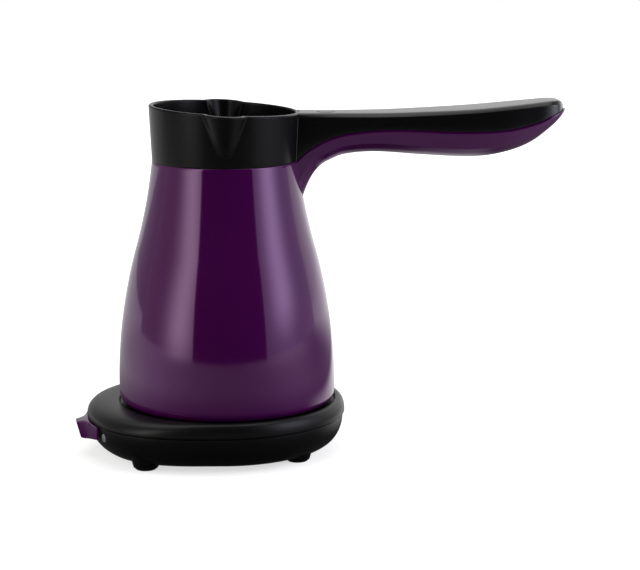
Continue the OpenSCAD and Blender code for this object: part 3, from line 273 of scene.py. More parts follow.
def finish(name, colour, rough, rough_spread, tint, grain, grain_depth, wave=0.0, metallic=0.0, coat=0.0,
           level=0.5, spec=(1, 1, 1), stretch=None):
    """A moulded or metal surface: cloudy colour, uneven roughness and a fine grain as bump."""
    mat, tree, shader = node_tree(name)
    place = add(tree, "ShaderNodeTexCoord").outputs["Object"]
    grain_place = place
    if stretch:
        grain_place = add(tree, "ShaderNodeMapping", {"Vector": place, "Scale": stretch}).outputs["Vector"]
    clouds = add(tree, "ShaderNodeTexNoise", {"Vector": place, "Scale": CLOUD_SCALE, "Detail": 4.0,
                                              "Roughness": 0.6})
    mix = add(tree, "ShaderNodeMix", {"Factor": clouds.outputs["Fac"]}, data_type="RGBA")
    mix.inputs[6].default_value = (*[c * (1 - tint) for c in colour], 1)
    mix.inputs[7].default_value = (*[min(1, c * (1 + tint)) for c in colour], 1)
    tree.links.new(mix.outputs[2], shader.inputs["Base Color"])
    fine = add(tree, "ShaderNodeTexNoise", {"Vector": grain_place, "Scale": grain, "Detail": 3.0,
                                            "Roughness": 0.55})
    uneven = add(tree, "ShaderNodeMapRange", {"Value": fine.outputs["Fac"], "From Min": 0.25,
                                              "From Max": 0.75, "To Min": max(0.01, rough - rough_spread),
                                              "To Max": rough + rough_spread})
    tree.links.new(uneven.outputs["Result"], shader.inputs["Roughness"])
    bump = add(tree, "ShaderNodeBump", {"Height": fine.outputs["Fac"], "Distance": grain_depth,
                                        "Strength": 1.0})
    if wave:
        slow = add(tree, "ShaderNodeTexNoise", {"Vector": place, "Scale": WAVE_SCALE, "Detail": 1.0})
        bump = add(tree, "ShaderNodeBump", {"Height": slow.outputs["Fac"], "Distance": wave, "Strength": 1.0,
                                            "Normal": bump.outputs["Normal"]})
    tree.links.new(bump.outputs["Normal"], shader.inputs["Normal"])
    shader.inputs["Metallic"].default_value = metallic
    shader.inputs["IOR"].default_value = 1.5
    shader.inputs["Specular IOR Level"].default_value = level
    shader.inputs["Coat Weight"].default_value = coat
    shader.inputs["Coat Roughness"].default_value = 0.05
    shader.inputs["Specular Tint"].default_value = (*spec, 1)
    return mat


# A row holds colour, roughness and its spread, cloudiness, grain per metre and its depth in metres, and what
# differs from plain plastic.
FINISHES = {
    "purple_gloss": ((0.0268, 0.0011, 0.0298), 0.08, 0.015, 0.04, 900, 0.0000012,
                     {"wave": 0.000002, "spec": (0.97, 0.62, 1.0)}),
    "black_gloss": ((0.0016, 0.0016, 0.0018), 0.24, 0.04, 0.1, 2200, 0.000006, {"level": 0.38}),
    "black_satin": ((0.0014, 0.0014, 0.0016), 0.25, 0.05, 0.1, 2600, 0.000010, {"level": 0.092}),
    "base_black": ((0.0019, 0.0019, 0.0021), 0.34, 0.05, 0.12, 2400, 0.000014, {"level": 0.17}),
    "connector_black": ((0.010, 0.010, 0.011), 0.45, 0.06, 0.12, 2200, 0.00002, {}),
    "steel": ((0.60, 0.59, 0.58), 0.24, 0.08, 0.05, 700, 0.000004,
              {"metallic": 1.0, "stretch": (0.25, 0.25, 6.0)}),
    "aluminium": ((0.62, 0.62, 0.63), 0.42, 0.08, 0.07, 1500, 0.00001, {"metallic": 1.0}),
    "element_metal": ((0.34, 0.33, 0.32), 0.45, 0.08, 0.15, 900, 0.00001, {"metallic": 1.0}),
    "ceramic": ((0.50, 0.36, 0.20), 0.5, 0.06, 0.1, 1600, 0.00002, {}),
    "fuse_body": ((0.70, 0.60, 0.46), 0.5, 0.06, 0.08, 1600, 0.00001, {}),
    "spring_steel": ((0.52, 0.52, 0.53), 0.28, 0.08, 0.06, 1100, 0.000004, {"metallic": 1.0}),
    "screw_steel": ((0.55, 0.55, 0.57), 0.3, 0.08, 0.08, 1500, 0.000006, {"metallic": 1.0}),
    "brass": ((0.72, 0.50, 0.20), 0.27, 0.08, 0.1, 1200, 0.000005, {"metallic": 1.0}),
    "seal_rubber": ((0.055, 0.055, 0.055), 0.65, 0.08, 0.1, 1900, 0.00003, {}),
    "foot_rubber": ((0.006, 0.006, 0.006), 0.5, 0.08, 0.15, 1900, 0.00003, {}),
    "gland_rubber": ((0.007, 0.007, 0.007), 0.55, 0.08, 0.15, 1900, 0.00003, {}),
    "ring_white": ((0.68, 0.67, 0.62), 0.4, 0.06, 0.04, 1500, 0.00001, {}),
    "ivory_plastic": ((0.64, 0.60, 0.50), 0.42, 0.06, 0.05, 1700, 0.00001, {}),
    "lens": ((0.085, 0.083, 0.085), 0.3, 0.03, 0.05, 900, 0.000002, {}),
    "neon_glass": ((0.75, 0.42, 0.22), 0.1, 0.02, 0.05, 900, 0.000001, {"coat": 0.5}),
    "pot_wire": ((0.62, 0.60, 0.54), 0.55, 0.06, 0.06, 1700, 0.00002, {}),
    "base_wire": ((0.22, 0.08, 0.03), 0.5, 0.06, 0.1, 1700, 0.00002, {}),
}
MATERIALS = {name: finish(name, *row[:-1], **row[-1]) for name, row in FINISHES.items()}

for sub in frame["record"]["subparts"]:
    node_object = nodes[sub["node"]]
    node_object.data.materials.clear()
    node_object.data.materials.append(MATERIALS[sub["material_slot"]])

# ---------------------------------------------------------------- pot shell


def belly_r(h):
    """Outer radius of the pot's belly, which holds up to TURN_H."""
    return POT_R - BELLY_ARC + math.sqrt(BELLY_ARC ** 2 - (h - WIDEST_H) ** 2)


def pot_r(h):
    """Outer radius of the pot at h over its bottom edge."""
    if h < TURN_H:
        return belly_r(h)
    return WAIST_R + NECK_ARC - math.sqrt(NECK_ARC ** 2 - (WAIST_H - h) ** 2)


def shell_profile():
    """Outside, upper edge, inside and lower lip of the pot's shell, as one closed profile."""
    low_r = belly_r(BOTTOM_ROUND)
    out = arc(low_r - BOTTOM_ROUND, BOTTOM_ROUND, BOTTOM_ROUND, -90, -2, 14)
    steps, side_h = 120, BODY_H - SHELL_EDGE - BOTTOM_ROUND
    out += [(pot_r(h), h) for h in (BOTTOM_ROUND + side_h * i / steps for i in range(1, steps + 1))]
    out += [(NECK_R - 0.06, BODY_H - 0.1), (NECK_R - 0.2, BODY_H), (NECK_R - SHELL_WALL + 0.1, BODY_H)]
    out += [(pot_r(h) - SHELL_WALL, h) for h in (BODY_H - 0.1 - (BODY_H - 7) * i / 30 for i in range(31))]
    out += [(pot_r(6) - SHELL_WALL - 1, LIP_H), (PLATE_R, LIP_H), (PLATE_R, RECESS_H),
            (COVER_R + FIT_GAP, RECESS_H), (COVER_R + FIT_GAP, 0.2), (COVER_R + 0.25, 0.0)]
    return out


points, faces = lathe(shell_profile(), 256, z0=POT_Z)
piece("Pot_Body", points, faces, "pot", "purple_gloss", ["outer_shell"])

# ---------------------------------------------------------------- collar with its two spouts


def smooth_max(a, b, k):
    """The larger of two lengths, blended over k where they're close."""
    t = min(1, max(0, 0.5 + 0.5 * (a - b) / k))
    return b + (a - b) * t + k * t * (1 - t)


def spout_reach(angle, h, wall):
    """Distance of a spout's wall from the axis at an angle from the spout's middle."""
    t = (h - (RIM_H - SPOUT_H)) / (SPOUT_H + 4)
    if t < 0:
        return -1.0
    top_y = COLLAR_FOOT_R + COLLAR_FLARE + SPOUT_OUT - SPOUT_W / 2
    foot_y = COLLAR_FOOT_R - SPOUT_FOOT_W / 2 - wall * 1.5
    c = foot_y + (top_y - foot_y) * t
    r = SPOUT_FOOT_W / 2 + (SPOUT_W / 2 - wall - SPOUT_FOOT_W / 2) * t
    d = r * r - (c * math.sin(angle)) ** 2
    return c * math.cos(angle) + math.sqrt(d) if d > 0 and math.cos(angle) > 0 else -1.0


def collar_r(a, h, wall=0.0):
    """Radius of the collar at angle a from +X and h over the pot's bottom edge, thinned by wall."""
    cone = COLLAR_FOOT_R - wall + (h - BODY_H) * COLLAR_FLARE / COLLAR_H
    out = cone
    for side in (-1, 1):
        out = max(out, smooth_max(cone, spout_reach(a - side * math.pi / 2, h, wall), SPOUT_BLEND))
    return out


def rim_top(x):
    """Height of the tilted rim over the pot's bottom edge."""
    return RIM_H - x * math.tan(RIM_TILT)


def spout_angles():
    """Angles round the collar, close together at the spouts."""
    out, a = [], 0.0
    while a < 360:
        out.append(math.radians(a))
        near = min(abs((a % 180) - 90), 90)
        a += 0.5 if near < 26 else 2.0
    return out


def collar_rings():
    """Outside, rounded rim, inside and foot of the collar, as the rings of one closed skin."""
    angles = spout_angles()

    def wall_ring(share, inner, rise=0.0, inward=0.0):
        """Ring at a share of the outer or inner wall's height."""
        wall = COLLAR_WALL if inner else 0.0
        foot = LEDGE_H + 0.3 if inner else BODY_H + COLLAR_LINE
        out = []
        for a in angles:
            top = rim_top(collar_r(a, RIM_H, wall) * math.cos(a)) - RIM_ROUND
            h = foot + (top - foot) * share
            r = collar_r(a, h, wall) + (inward if inner else -inward)
            out.append((r * math.cos(a), r * math.sin(a), h + rise))
        return out

    def rim_ring(inner, degrees):
        """Ring on the outer or inner half of the rounded rim."""
        t = math.radians(degrees)
        return wall_ring(1, inner, RIM_ROUND * math.sin(t), RIM_ROUND * (1 - math.cos(t)))

    def flat_ring(r, h):
        """Round ring at one height."""
        return [(r * math.cos(a), r * math.sin(a), h) for a in angles]

    rings = [wall_ring(i / 44, False) for i in range(45)]
    rings += [rim_ring(False, degrees) for degrees in range(15, 91, 15)]
    rings += [rim_ring(True, degrees) for degrees in range(90, 14, -15)]
    rings += [wall_ring(1 - i / 40, True) for i in range(41)]
    spigot_r = NECK_R - SHELL_WALL - FIT_GAP
    rings += [flat_ring(r, h) for r, h in [(COLLAR_FOOT_R - COLLAR_WALL, LEDGE_H), (LEDGE_R, LEDGE_H),
                                           (LEDGE_R, BODY_H - SPIGOT_H), (spigot_r, BODY_H - SPIGOT_H),
                                           (spigot_r, BODY_H - FIT_GAP), (COLLAR_FOOT_R - 0.3, BODY_H),
                                           (COLLAR_FOOT_R - 0.1, BODY_H + 0.08)]]
    return [[(x, y, z + POT_Z) for x, y, z in ring] for ring in rings]


points, faces = skin(collar_rings(), closed=True)
piece("Collar", points, faces, "pot", "black_satin", ["collar"])

# ---------------------------------------------------------------- handle


def onto_pot(p):
    """A point that lies inside the pot or the collar is moved out, to just under its surface."""
    x, y, z = p
    h = z - POT_Z
    surface = (pot_r(h) if h < BODY_H else collar_r(math.atan2(y, x), h)) - HANDLE_SINK
    if math.hypot(x, y) >= surface:
        return p
    return (math.sqrt(max(surface * surface - y * y, 0)), y, z)


def half_top(f):
    """Half the black part's width at the share f of the handle's length, rounded at its nose."""
    w = curve(WIDTH_LINE, f)
    if f < TOP_NOSE:
        return w
    return w * math.sqrt(max(0.0004, 1 - ((f - TOP_NOSE) / (TOP_END - TOP_NOSE)) ** 2))


def top_section(f):
    """Right half of the black part's section at f, from its top's middle to its underside's middle."""
    h = half_top(f)
    z1 = HANDLE_Z + curve(TOP_LINE, f)
    z0 = HANDLE_Z + curve(SPLIT_LINE, f)
    bevel = min(BEVEL_H, (z1 - z0) / 2)
    b = min(BEVEL_W, h / 2)
    side = TOP_SIDE * h
    lean = TOP_LEAN * (z1 - bevel - z0)
    crown = 0.12 * min(1, h / 8)
    return rounded([(0, z1 + crown), ((h - b) * 0.6, z1 + crown * 0.75), (h - b, z1),
                    (side - lean, z1 - bevel), (side - lean * 0.45, (z1 - bevel + z0) / 2),
                    (side + 0.1, z0 + 0.12), (side - 0.3, z0 - 0.02), (0, z0 - 0.05)],
                   [0, 6, 1.6, 0.9, 30, 0.2, 0.2, 0])


def grip_section(f):
    """Right half of the purple part's section at f, from its top's middle to its underside's middle."""
    w = curve(WIDTH_LINE, f)
    z1 = HANDLE_Z + curve(SPLIT_LINE, f)
    z0 = HANDLE_Z + curve(UNDER_LINE, f)
    h = w * SIDE_TAPER
    deep = z1 - z0
    zc = z0 + min(4.5, deep * 0.45)
    lip = min(1.1, deep * 0.2)
    lean = ROOT_LEAN * max(0, 1 - max(f, 0) / ROOT_LEAN_END)
    return rounded([(0, z1 - 0.2), (h - 0.5, z1 - 0.18), (h - 0.22, z1 - 0.28), (h, z1 - lip),
                    ((h + w * CREASE_TAPER) / 2 + 0.12 - lean * 0.5, (z1 - lip + zc) / 2),
                    (w * CREASE_TAPER - lean, zc),
                    (w * (CREASE_TAPER + UNDER_TAPER) / 2 + 0.4 - lean, (zc + z0) / 2 - 0.4),
                    (w * UNDER_TAPER - lean * 0.5, z0 + 0.05), (0, z0)],
                   [0, 0.2, 0.25, 0.9, 14, 0.55, 5, 5, 0])


def handle_rings(section, shares):
    """Whole rings of a section along the handle, which end on the pot near the handle's root."""
    rings = []
    for f in shares:
        x, half = HANDLE_X + f * HANDLE_L, section(f)
        ring = [(x, y, z) for y, z in half] + [(x, -y, z) for y, z in half[-2:0:-1]]
        rings.append([onto_pot(p) for p in ring] if f < ROOT_SHARE else ring)
    return rings


def end_bead(side):
    """A thin rounded edge of the handle's end, down one side of the collar."""
    steps, sides = 24, 12
    y = side * (TOP_SIDE * ROOT_HW - 0.1)
    angle = math.atan2(y, math.sqrt(COLLAR_FOOT_R ** 2 - y * y))
    rings = []
    for i in range(steps + 1):
        z = HANDLE_Z - 1.6 + (curve(SPLIT_LINE, 0.0) + 1.2) * i / steps
        r = collar_r(angle, max(z - POT_Z, BODY_H))
        x = math.sqrt(r * r - y * y) + 0.15
        rings.append([(x + BEAD_R * math.cos(math.tau * k / sides),
                       y + BEAD_R * math.sin(math.tau * k / sides), z) for k in range(sides)])
    return skin(rings)


# Shares of the handle's length at which its sections stand, closest together at the root and the tip.
root = [-0.045 + 0.004 * i for i in range(43)]
middle = [0.14 + 0.014 * i for i in range(1, 53)]
top_tip = [0.885 + 0.008 * i for i in range(8)]
nose = [TOP_NOSE + (TOP_END - TOP_NOSE) * math.sin(math.radians(a)) for a in range(4, 91, 4)] + [TOP_END]
grip_tip = [0.885 + 0.006 * i for i in range(18)] + [0.9915, 0.9945, 0.997, 0.9985, 0.9996]

points, faces = merge([skin(handle_rings(top_section, root + middle + top_tip + nose)),
                       end_bead(-1), end_bead(1)])
piece("Handle_Top", points, faces, "pot", "black_gloss", ["handle_top"], sharp=40)

points, faces = skin(handle_rings(grip_section, root + middle + grip_tip))
piece("Handle_Grip", points, faces, "pot", "purple_gloss", ["handle_grip"], sharp=40)

cap = [(TINY_R, -CAP_T + 0.1), (CAP_R, -CAP_T + 0.1)]
cap += arc(CAP_R - CAP_ROUND, -0.2, CAP_ROUND, 0, 90, 5) + [(TINY_R, 0.17)]
points, faces = lathe(cap, 64, (CAP_X, 0), HANDLE_Z)
piece("Handle_Plug", points, faces, "pot", "black_gloss", ["handle_cap"])

# ---------------------------------------------------------------- base


def full(value, fullness):
    """A sine or cosine as a superellipse has it: 2 is round, more is squarer."""
    return max(0.0, value) ** (2 / fullness)


def base_ring(inset, share, inner_r, z):
    """A ring at z, a share of the way from inner_r out to the base's outline less inset."""
    out = []
    for i in range(BASE_STEPS):
        a = math.tau * i / BASE_STEPS
        r = inner_r + (base_outline(a) - inset - inner_r) * share
        out.append(in_base((r * math.cos(a), r * math.sin(a), z)))
    return out


def dome_rings():
    """Seat, crest, outside and inside of the top shell, as the rings of one closed skin."""
    ceiling = SEAT_Z - BASE_WALL
    hole = TOWER_R + 0.3
    low_z = SEAM_Z + 0.25
    seat = [(hole, SEAT_Z - 0.2), (hole + 0.2, SEAT_Z), (CREST_R - 1.6, SEAT_Z)]
    seat += [(CREST_R - 1.6 + 0.8 * math.sin(t), SEAT_Z + 0.8 * (1 - math.cos(t)))
             for t in map(math.radians, (30, 60, 90))]
    seat += [(CREST_R - 0.8, CREST_Z - 0.55), (CREST_R - 0.66, CREST_Z - 0.25),
             (CREST_R - 0.35, CREST_Z - 0.06)]
    rings = [base_ring(0, 0, r, z) for r, z in seat]
    for i in range(37):
        t = math.radians(90 - 90 * (i / 36))
        rings.append(base_ring(0, full(math.cos(t), DOME_FULL), CREST_R,
                               low_z + (CREST_Z - low_z) * full(math.sin(t), DOME_FULL)))
    rings += [base_ring(0.06, 1, 0, SEAM_Z + 0.1), base_ring(0.25, 1, 0, SEAM_Z),
              base_ring(BASE_WALL, 1, 0, SEAM_Z)]
    for i in range(1, 9):
        t = math.radians(90 * i / 8)
        rings.append(base_ring(BASE_WALL, full(math.cos(t), DOME_FULL), CREST_R,
                               SEAM_Z + (ceiling - SEAM_Z) * full(math.sin(t), DOME_FULL)))
    return rings + [base_ring(0, 0, hole, ceiling)]


points, faces = skin(dome_rings(), closed=True)
piece("Base_Dome", points, faces, "base", "base_black", ["base_top"])


def tub_rings():
    """Outside and inside of the bottom shell as one closed skin, with a small hole left in the middle."""
    def bowl(t, wall):
        """Ring of the bowl at the angle t down from the seam, set in by wall."""
        return base_ring(SEAM_STEP + wall + TUB_ROUND * (1 - full(math.cos(t), TUB_FULL)), 1, 0,
                         SEAM_Z - (TUB_H - wall) * full(math.sin(t), TUB_FULL))

    rings = [base_ring(SEAM_STEP + inset, 1, 0, SEAM_Z + z)
             for inset, z in ((GROOVE, GROOVE_TOP), (GROOVE, -GROOVE_LOW), (0.14, -0.4), (0.03, -0.5))]
    steps, inner_steps, hole = 40, 12, 4
    first = math.asin((0.7 / TUB_H) ** (TUB_FULL / 2))
    rings += [bowl(first + (math.pi / 2 - first) * i / steps, 0) for i in range(steps + 1)]
    rings += [base_ring(0, 0, hole, FOOT_H), base_ring(0, 0, hole, FOOT_H + BASE_WALL)]
    rings += [bowl(math.radians(90 * i / inner_steps), BASE_WALL) for i in range(inner_steps, -1, -1)]
    return rings + [base_ring(SEAM_STEP + BASE_WALL, 1, 0, SEAM_Z + GROOVE_TOP)]


def cut(obj, other_points, other_faces):
    """A closed mesh is taken out of obj."""
    mesh = bpy.data.meshes.new("cutter")
    mesh.from_pydata([[c * MM for c in p] for p in other_points], [], other_faces)
    bm = bmesh.new()
    bm.from_mesh(mesh)
    bmesh.ops.remove_doubles(bm, verts=bm.verts, dist=1e-6)
    bmesh.ops.recalc_face_normals(bm, faces=bm.faces)
    bm.to_mesh(mesh)
    bm.free()
    other = bpy.data.objects.new("cutter", mesh)
    bpy.context.scene.collection.objects.link(other)
    mod = obj.modifiers.new("cut", "BOOLEAN")
    mod.operation, mod.solver, mod.object = "DIFFERENCE", "EXACT", other
    bpy.context.view_layer.update()
    done = bpy.data.meshes.new_from_object(obj.evaluated_get(bpy.context.evaluated_depsgraph_get()))
    obj.modifiers.clear()
    obj.data = done
    smooth(done, SHARP)
    bpy.data.objects.remove(other)


def turned_along(origin, direction, profile, n=48):
    """A profile (r, z) turned about a line in the base's frame, from origin along direction."""
    turn = Vector(direction).to_track_quat("Z", "Y")
    return skin([[in_base(tuple(Vector(origin) + turn @ Vector((r * math.cos(math.tau * i / n),
                                                                r * math.sin(math.tau * i / n), z))))
                  for i in range(n)] for r, z in profile])


def block(xs, half_y, z0, z1):
    """A box in the base's frame, from one x to the other."""
    corners = ((-half_y, z0), (half_y, z0), (half_y, z1), (-half_y, z1))
    return skin([[in_base((x, y, z)) for y, z in corners] for x in xs])


points, faces = skin(tub_rings(), closed=True)
tub = piece("Base_Tub", points, faces, "base", "base_black", ["base_bottom"])
lamp_way = Vector((math.cos(LAMP_ANGLE), math.sin(LAMP_ANGLE), 0))
lamp_axis = Vector((0, 0, LAMP_Z))
lever_z = FOOT_H + PIN_Z
for origin, direction, r, length in ((lamp_axis + lamp_way * 58, lamp_way, LAMP_R + LAMP_GAP, 15),
                                     ((0, -BASE_R - 3, GLAND_Z), (0, 1, 0), GLAND_R + FIT_GAP, 10)):
    cut(tub, *turned_along(origin, direction, [(r, 0), (r, length)]))
cut(tub, *block((60, 72), 6, lever_z - 4.6, lever_z + 2.5))


def boss(p):
    """The tapered boss round a foot, its end rounded."""
    r1, r2, z = FOOT_R + 0.9, FOOT_R + 2.8, FOOT_H - 1.2
    top = FOOT_H + BASE_WALL + 3.8
    profile = [(TINY_R, z + 1.0), (FOOT_R + FIT_GAP, z + 1.0), (FOOT_R + FIT_GAP, z + 0.15),
               (FOOT_R + 0.2, z)]
    profile += [(r1 - 0.35, z), (r1 - 0.1, z + 0.1), (r1 + 0.05, z + 0.4), (r2, top), (TINY_R, top)]
    return lathe(profile, 72, in_base((*p, 0))[:2])


def foot(p):
    """A rubber foot, its lower edge rounded."""
    profile = [(TINY_R, 0.0), (FOOT_R - 1.2, 0.0)] + arc(FOOT_R - 0.6, 0.6, 0.6, -90, 0, 6)
    profile += [(FOOT_R, FOOT_H - 0.2), (FOOT_R, FOOT_H + FOOT_SEAT), (TINY_R, FOOT_H + FOOT_SEAT)]
    return lathe(profile, 64, in_base((*p, 0))[:2])


points, faces = merge([boss(p) for p in FOOT_PLACES])
piece("Base_Bosses", points, faces, "base", "base_black")
points, faces = merge([foot(p) for p in FOOT_PLACES])
piece("Rubber_Feet", points, faces, "base", "foot_rubber", ["feet"])

# ---------------------------------------------------------------- lever and lamp


def lever_flare(k):
    """How far the lever stands out of the lobe at k half widths of its tip; its corners are eased."""
    if not 0.9 <= k <= 1.1:
        return curve(LEVER_FLARE, k)
    t = (k - 0.9) / 0.2
    t = t * t * (3 - 2 * t)
    return curve(LEVER_FLARE, 0.9) * (1 - t) + curve(LEVER_FLARE, 1.1) * t


def lever_section(y):
    """Ring (x, z) of the lever's outer part at y."""
    wall = math.sqrt(LEVER_WALL_R ** 2 - y * y)
    out = math.sqrt(LOBE_R ** 2 - y * y) + lever_flare(abs(y) / (LEVER_TIP_W / 2))
    rise = min(1, max(0, (abs(y) - 5) / (LEVER_FOOT_W / 2 - 5)))
    low = LEVER_LOW_Z + (LEVER_TOP_Z - LEVER_FOOT_H - LEVER_LOW_Z) * rise
    lean = max(0, out - (LOBE_R + LEVER_OUT - LEVER_LEAN))
    top = LEVER_TOP_Z - LEVER_DROP * (max(0, out - LOBE_R) / LEVER_OUT)
    r = min(0.7, (out - wall) * 0.35)
    line = [(wall, (top + low) / 2), (wall, LEVER_TOP_Z), (out, top), (out - lean, low), (wall, low),
            (wall, (top + low) / 2)]
    return rounded(line, [0, 0.05, r, r, 0.05, 0], 6)[:-1]


def lever_stations():
    """Distances from the lever's middle, close together at its tip's corners."""
    out, y = [], -LEVER_FOOT_W / 2
    while y <= LEVER_FOOT_W / 2 + 1e-6:
        out.append(y)
        y += 0.13 if 2.4 < abs(y + 0.05) < 4.6 else 0.4
    return out


outer_part = skin([[in_base((x, y, z)) for x, z in lever_section(y)] for y in lever_stations()])
inner_part = block((PIN_X, LEVER_WALL_R + 0.5), 5, lever_z - 2, lever_z + 2)
points, faces = merge([outer_part, inner_part])
piece("Switch_Lever", points, faces, "lever", "purple_gloss", ["switch_lever"], sharp=38)

lens = [(TINY_R, -6.0), (LAMP_R, -6.0), (LAMP_R, -0.25), (LAMP_R - 0.12, -0.08)]
lens += [(LAMP_R * math.cos(t), LENS_DOME * math.sin(t)) for t in map(math.radians, range(24, 91, 11))]
points, faces = turned_along(lamp_axis + lamp_way * (LAMP_FACE_R - LENS_SUNK), lamp_way, lens)
piece("Lamp_Lens", points, faces, "base", "lens", ["lamp_lens"])

# ---------------------------------------------------------------- floor, light and camera

FLOOR_HALF, FLOOR_CAMERA = 4, 0.62  # half the floor's width in metres, and its glow to the camera
CARD_R, DARK_R = 1.0, 0.8  # distance of the softboxes and the dark card, in metres
LEFT_EDGE, RIGHT_EDGE = -35.5, 41.5  # where the dark card ends and the softboxes start, degrees
CAMERA_AT = (0, -0.962, 0.2659)
CAMERA_TURN = (90 - 10.94, 0.05, -2.72)  # degrees
FOCAL_PX, PHOTO_PX, SENSOR_W = 2016, 640, 36.0

scene = bpy.context.scene
scene.view_settings.view_transform = "Standard"


def stage_mesh(name, points, faces, material, camera=True, diffuse=True, shadow=True):
    """A mesh in metres that belongs to the studio, and who sees it besides reflections."""
    mesh = bpy.data.meshes.new(name)
    mesh.from_pydata(points, [], faces)
    obj = bpy.data.objects.new(name, mesh)
    scene.collection.objects.link(obj)
    mesh.materials.append(material)
    obj.visible_camera = camera
    obj.visible_diffuse = diffuse
    obj.visible_shadow = shadow


def maths(tree, operation, *values):
    """One step of arithmetic on sockets and numbers."""
    node = add(tree, "ShaderNodeMath", dict(enumerate(values)), operation=operation)
    return node.outputs[0]


def azimuth(tree, xyz):
    """Angle round the pot's axis from -Y towards +X, in radians."""
    return maths(tree, "ARCTAN2", xyz.outputs["X"], maths(tree, "MULTIPLY", xyz.outputs["Y"], -1.0))


def bell(tree, angle, centre, width):
    """A soft rise round an angle, from 0 to 1; centre and width in degrees."""
    off = maths(tree, "DIVIDE", maths(tree, "SUBTRACT", angle, math.radians(centre)), math.radians(width))
    return maths(tree, "EXPONENT", maths(tree, "MULTIPLY", maths(tree, "MULTIPLY", off, off), -1.0))


def ramp(tree, value, start, end, low, high):
    """A soft step from low to high, while value goes from start to end."""
    node = add(tree, "ShaderNodeMapRange", {"Value": value, "From Min": start, "From Max": end, "To Min": low,
                                            "To Max": high}, interpolation_type="SMOOTHSTEP")
    return node.outputs["Result"]


def surface_output(tree, shader_node):
    """The material shows this shader."""
    out = next(n for n in tree.nodes if n.type == "OUTPUT_MATERIAL")
    tree.links.new(shader_node.outputs[0], out.inputs["Surface"])


def floor_material():
    """Pale floor, white to the camera where nothing shades it; reflections see light pools and shade painted
    on it as glow.
    """
    mat, tree, _ = node_tree("floor")
    path = add(tree, "ShaderNodeLightPath")
    place = add(tree, "ShaderNodeNewGeometry").outputs["Position"]
    xyz = add(tree, "ShaderNodeSeparateXYZ", {0: place})
    x, y = xyz.outputs["X"], xyz.outputs["Y"]
    angle = azimuth(tree, xyz)
    reach = add(tree, "ShaderNodeVectorMath", {0: place}, operation="LENGTH").outputs["Value"]

    # Painted light in front of the object, less a painted falloff far away and painted shade towards the
    # back.
    far = maths(tree, "MULTIPLY", bell(tree, angle, 0, 30), ramp(tree, reach, 0.62, 0.95, 0.0, 0.45))
    shade = maths(tree, "MULTIPLY", ramp(tree, y, -0.1, 0.1, 0.0, 0.2), ramp(tree, x, 0.0, 0.2, 0.2, 1.0))
    pools = maths(tree, "SUBTRACT", maths(tree, "SUBTRACT", 0.47, far), shade)
    # Painted light pools on the left and on the right, a painted bright streak between left and front, and a
    # painted lit back.
    left = maths(tree, "MULTIPLY", bell(tree, angle, -85, 45), 0.78)
    right = maths(tree, "MULTIPLY", bell(tree, angle, 66, 28), ramp(tree, reach, 0.25, 0.8, 0.40, 1.2))
    streak = maths(tree, "MULTIPLY", bell(tree, angle, -53, 14.5), ramp(tree, reach, 0.5, 1.1, 0.0, 2.2))
    back = maths(tree, "MULTIPLY", ramp(tree, y, 0.15, 0.5, 0.0, 1.0), ramp(tree, x, -0.3, 0.3, 0.35, 1.25))
    for part in (left, right, streak, back):
        pools = maths(tree, "ADD", pools, part)
    # Painted light under the handle. All the rest grows dim close to the base, a painted contact shade.
    under_x = maths(tree, "MULTIPLY", ramp(tree, x, 0.06, 0.1, 0.0, 1.0), ramp(tree, x, 0.13, 0.18, 1.0, 0.0))
    under = maths(tree, "MULTIPLY", ramp(tree, y, -0.04, 0.02, 0.0, 1.2), under_x)
    painted_glow_level = maths(tree, "MULTIPLY_ADD", pools, ramp(tree, reach, 0.08, 0.26, 0.08, 1.0), under)
    reflected = add(tree, "ShaderNodeEmission", {"Color": (1, 1, 1, 1), "Strength": painted_glow_level})

    bare = ramp(tree, reach, 0.2, 1.0, FLOOR_CAMERA, 1.1)
    camera_level = maths(tree, "MULTIPLY", path.outputs["Is Camera Ray"], bare)
    glow = add(tree, "ShaderNodeEmission", {"Color": (1, 1, 1, 1), "Strength": camera_level})
    speckle = add(tree, "ShaderNodeTexNoise", {"Scale": 60.0, "Detail": 3.0})
    tone = add(tree, "ShaderNodeMapRange", {"Value": speckle.outputs["Fac"], "To Min": 0.40, "To Max": 0.42})
    diffuse = add(tree, "ShaderNodeBsdfDiffuse", {"Color": tone.outputs["Result"]})
    both = add(tree, "ShaderNodeAddShader", {0: diffuse.outputs[0], 1: glow.outputs[0]})
    mix = add(tree, "ShaderNodeMixShader", {0: path.outputs["Is Glossy Ray"], 1: both.outputs[0],
                                            2: reflected.outputs[0]})
    surface_output(tree, mix)
    return mat


stage_mesh("Floor", [(x * FLOOR_HALF, y * FLOOR_HALF, 0) for x, y in ((-1, -1), (1, -1), (1, 1), (-1, 1))],
           [(0, 1, 2, 3)], floor_material())


def card_points(radius, a0, a1, height, steps=40):
    """An upright card bent round the pot's axis; angles are degrees from -Y towards +X."""
    points = []
    for i in range(steps + 1):
        a = math.radians(a0 + (a1 - a0) * i / steps)
        points += [(radius * math.sin(a), -radius * math.cos(a), z) for z in (0.0, height)]
    faces = [(2 * i, 2 * i + 2, 2 * i + 3, 2 * i + 1) for i in range(steps)]
    return points, faces


def card_material(name, colour, base, peak, centre, width, lean, fade):
    """Soft light whose strength peaks at an angle round the pot, leans with height and fades to the floor."""
    mat, tree, _ = node_tree(name)
    place = add(tree, "ShaderNodeNewGeometry").outputs["Position"]
    xyz = add(tree, "ShaderNodeSeparateXYZ", {0: place})
    leaned = maths(tree, "ADD", azimuth(tree, xyz), maths(tree, "MULTIPLY", xyz.outputs["Z"], lean))
    low, high, share = fade
    rise = ramp(tree, xyz.outputs["Z"], low, high, share, 1.0)
    shine = maths(tree, "MULTIPLY", bell(tree, leaned, centre, width), peak)
    level = maths(tree, "MULTIPLY_ADD", shine, rise, base)
    surface_output(tree, add(tree, "ShaderNodeEmission", {"Color": (*colour, 1), "Strength": level}))
    return mat


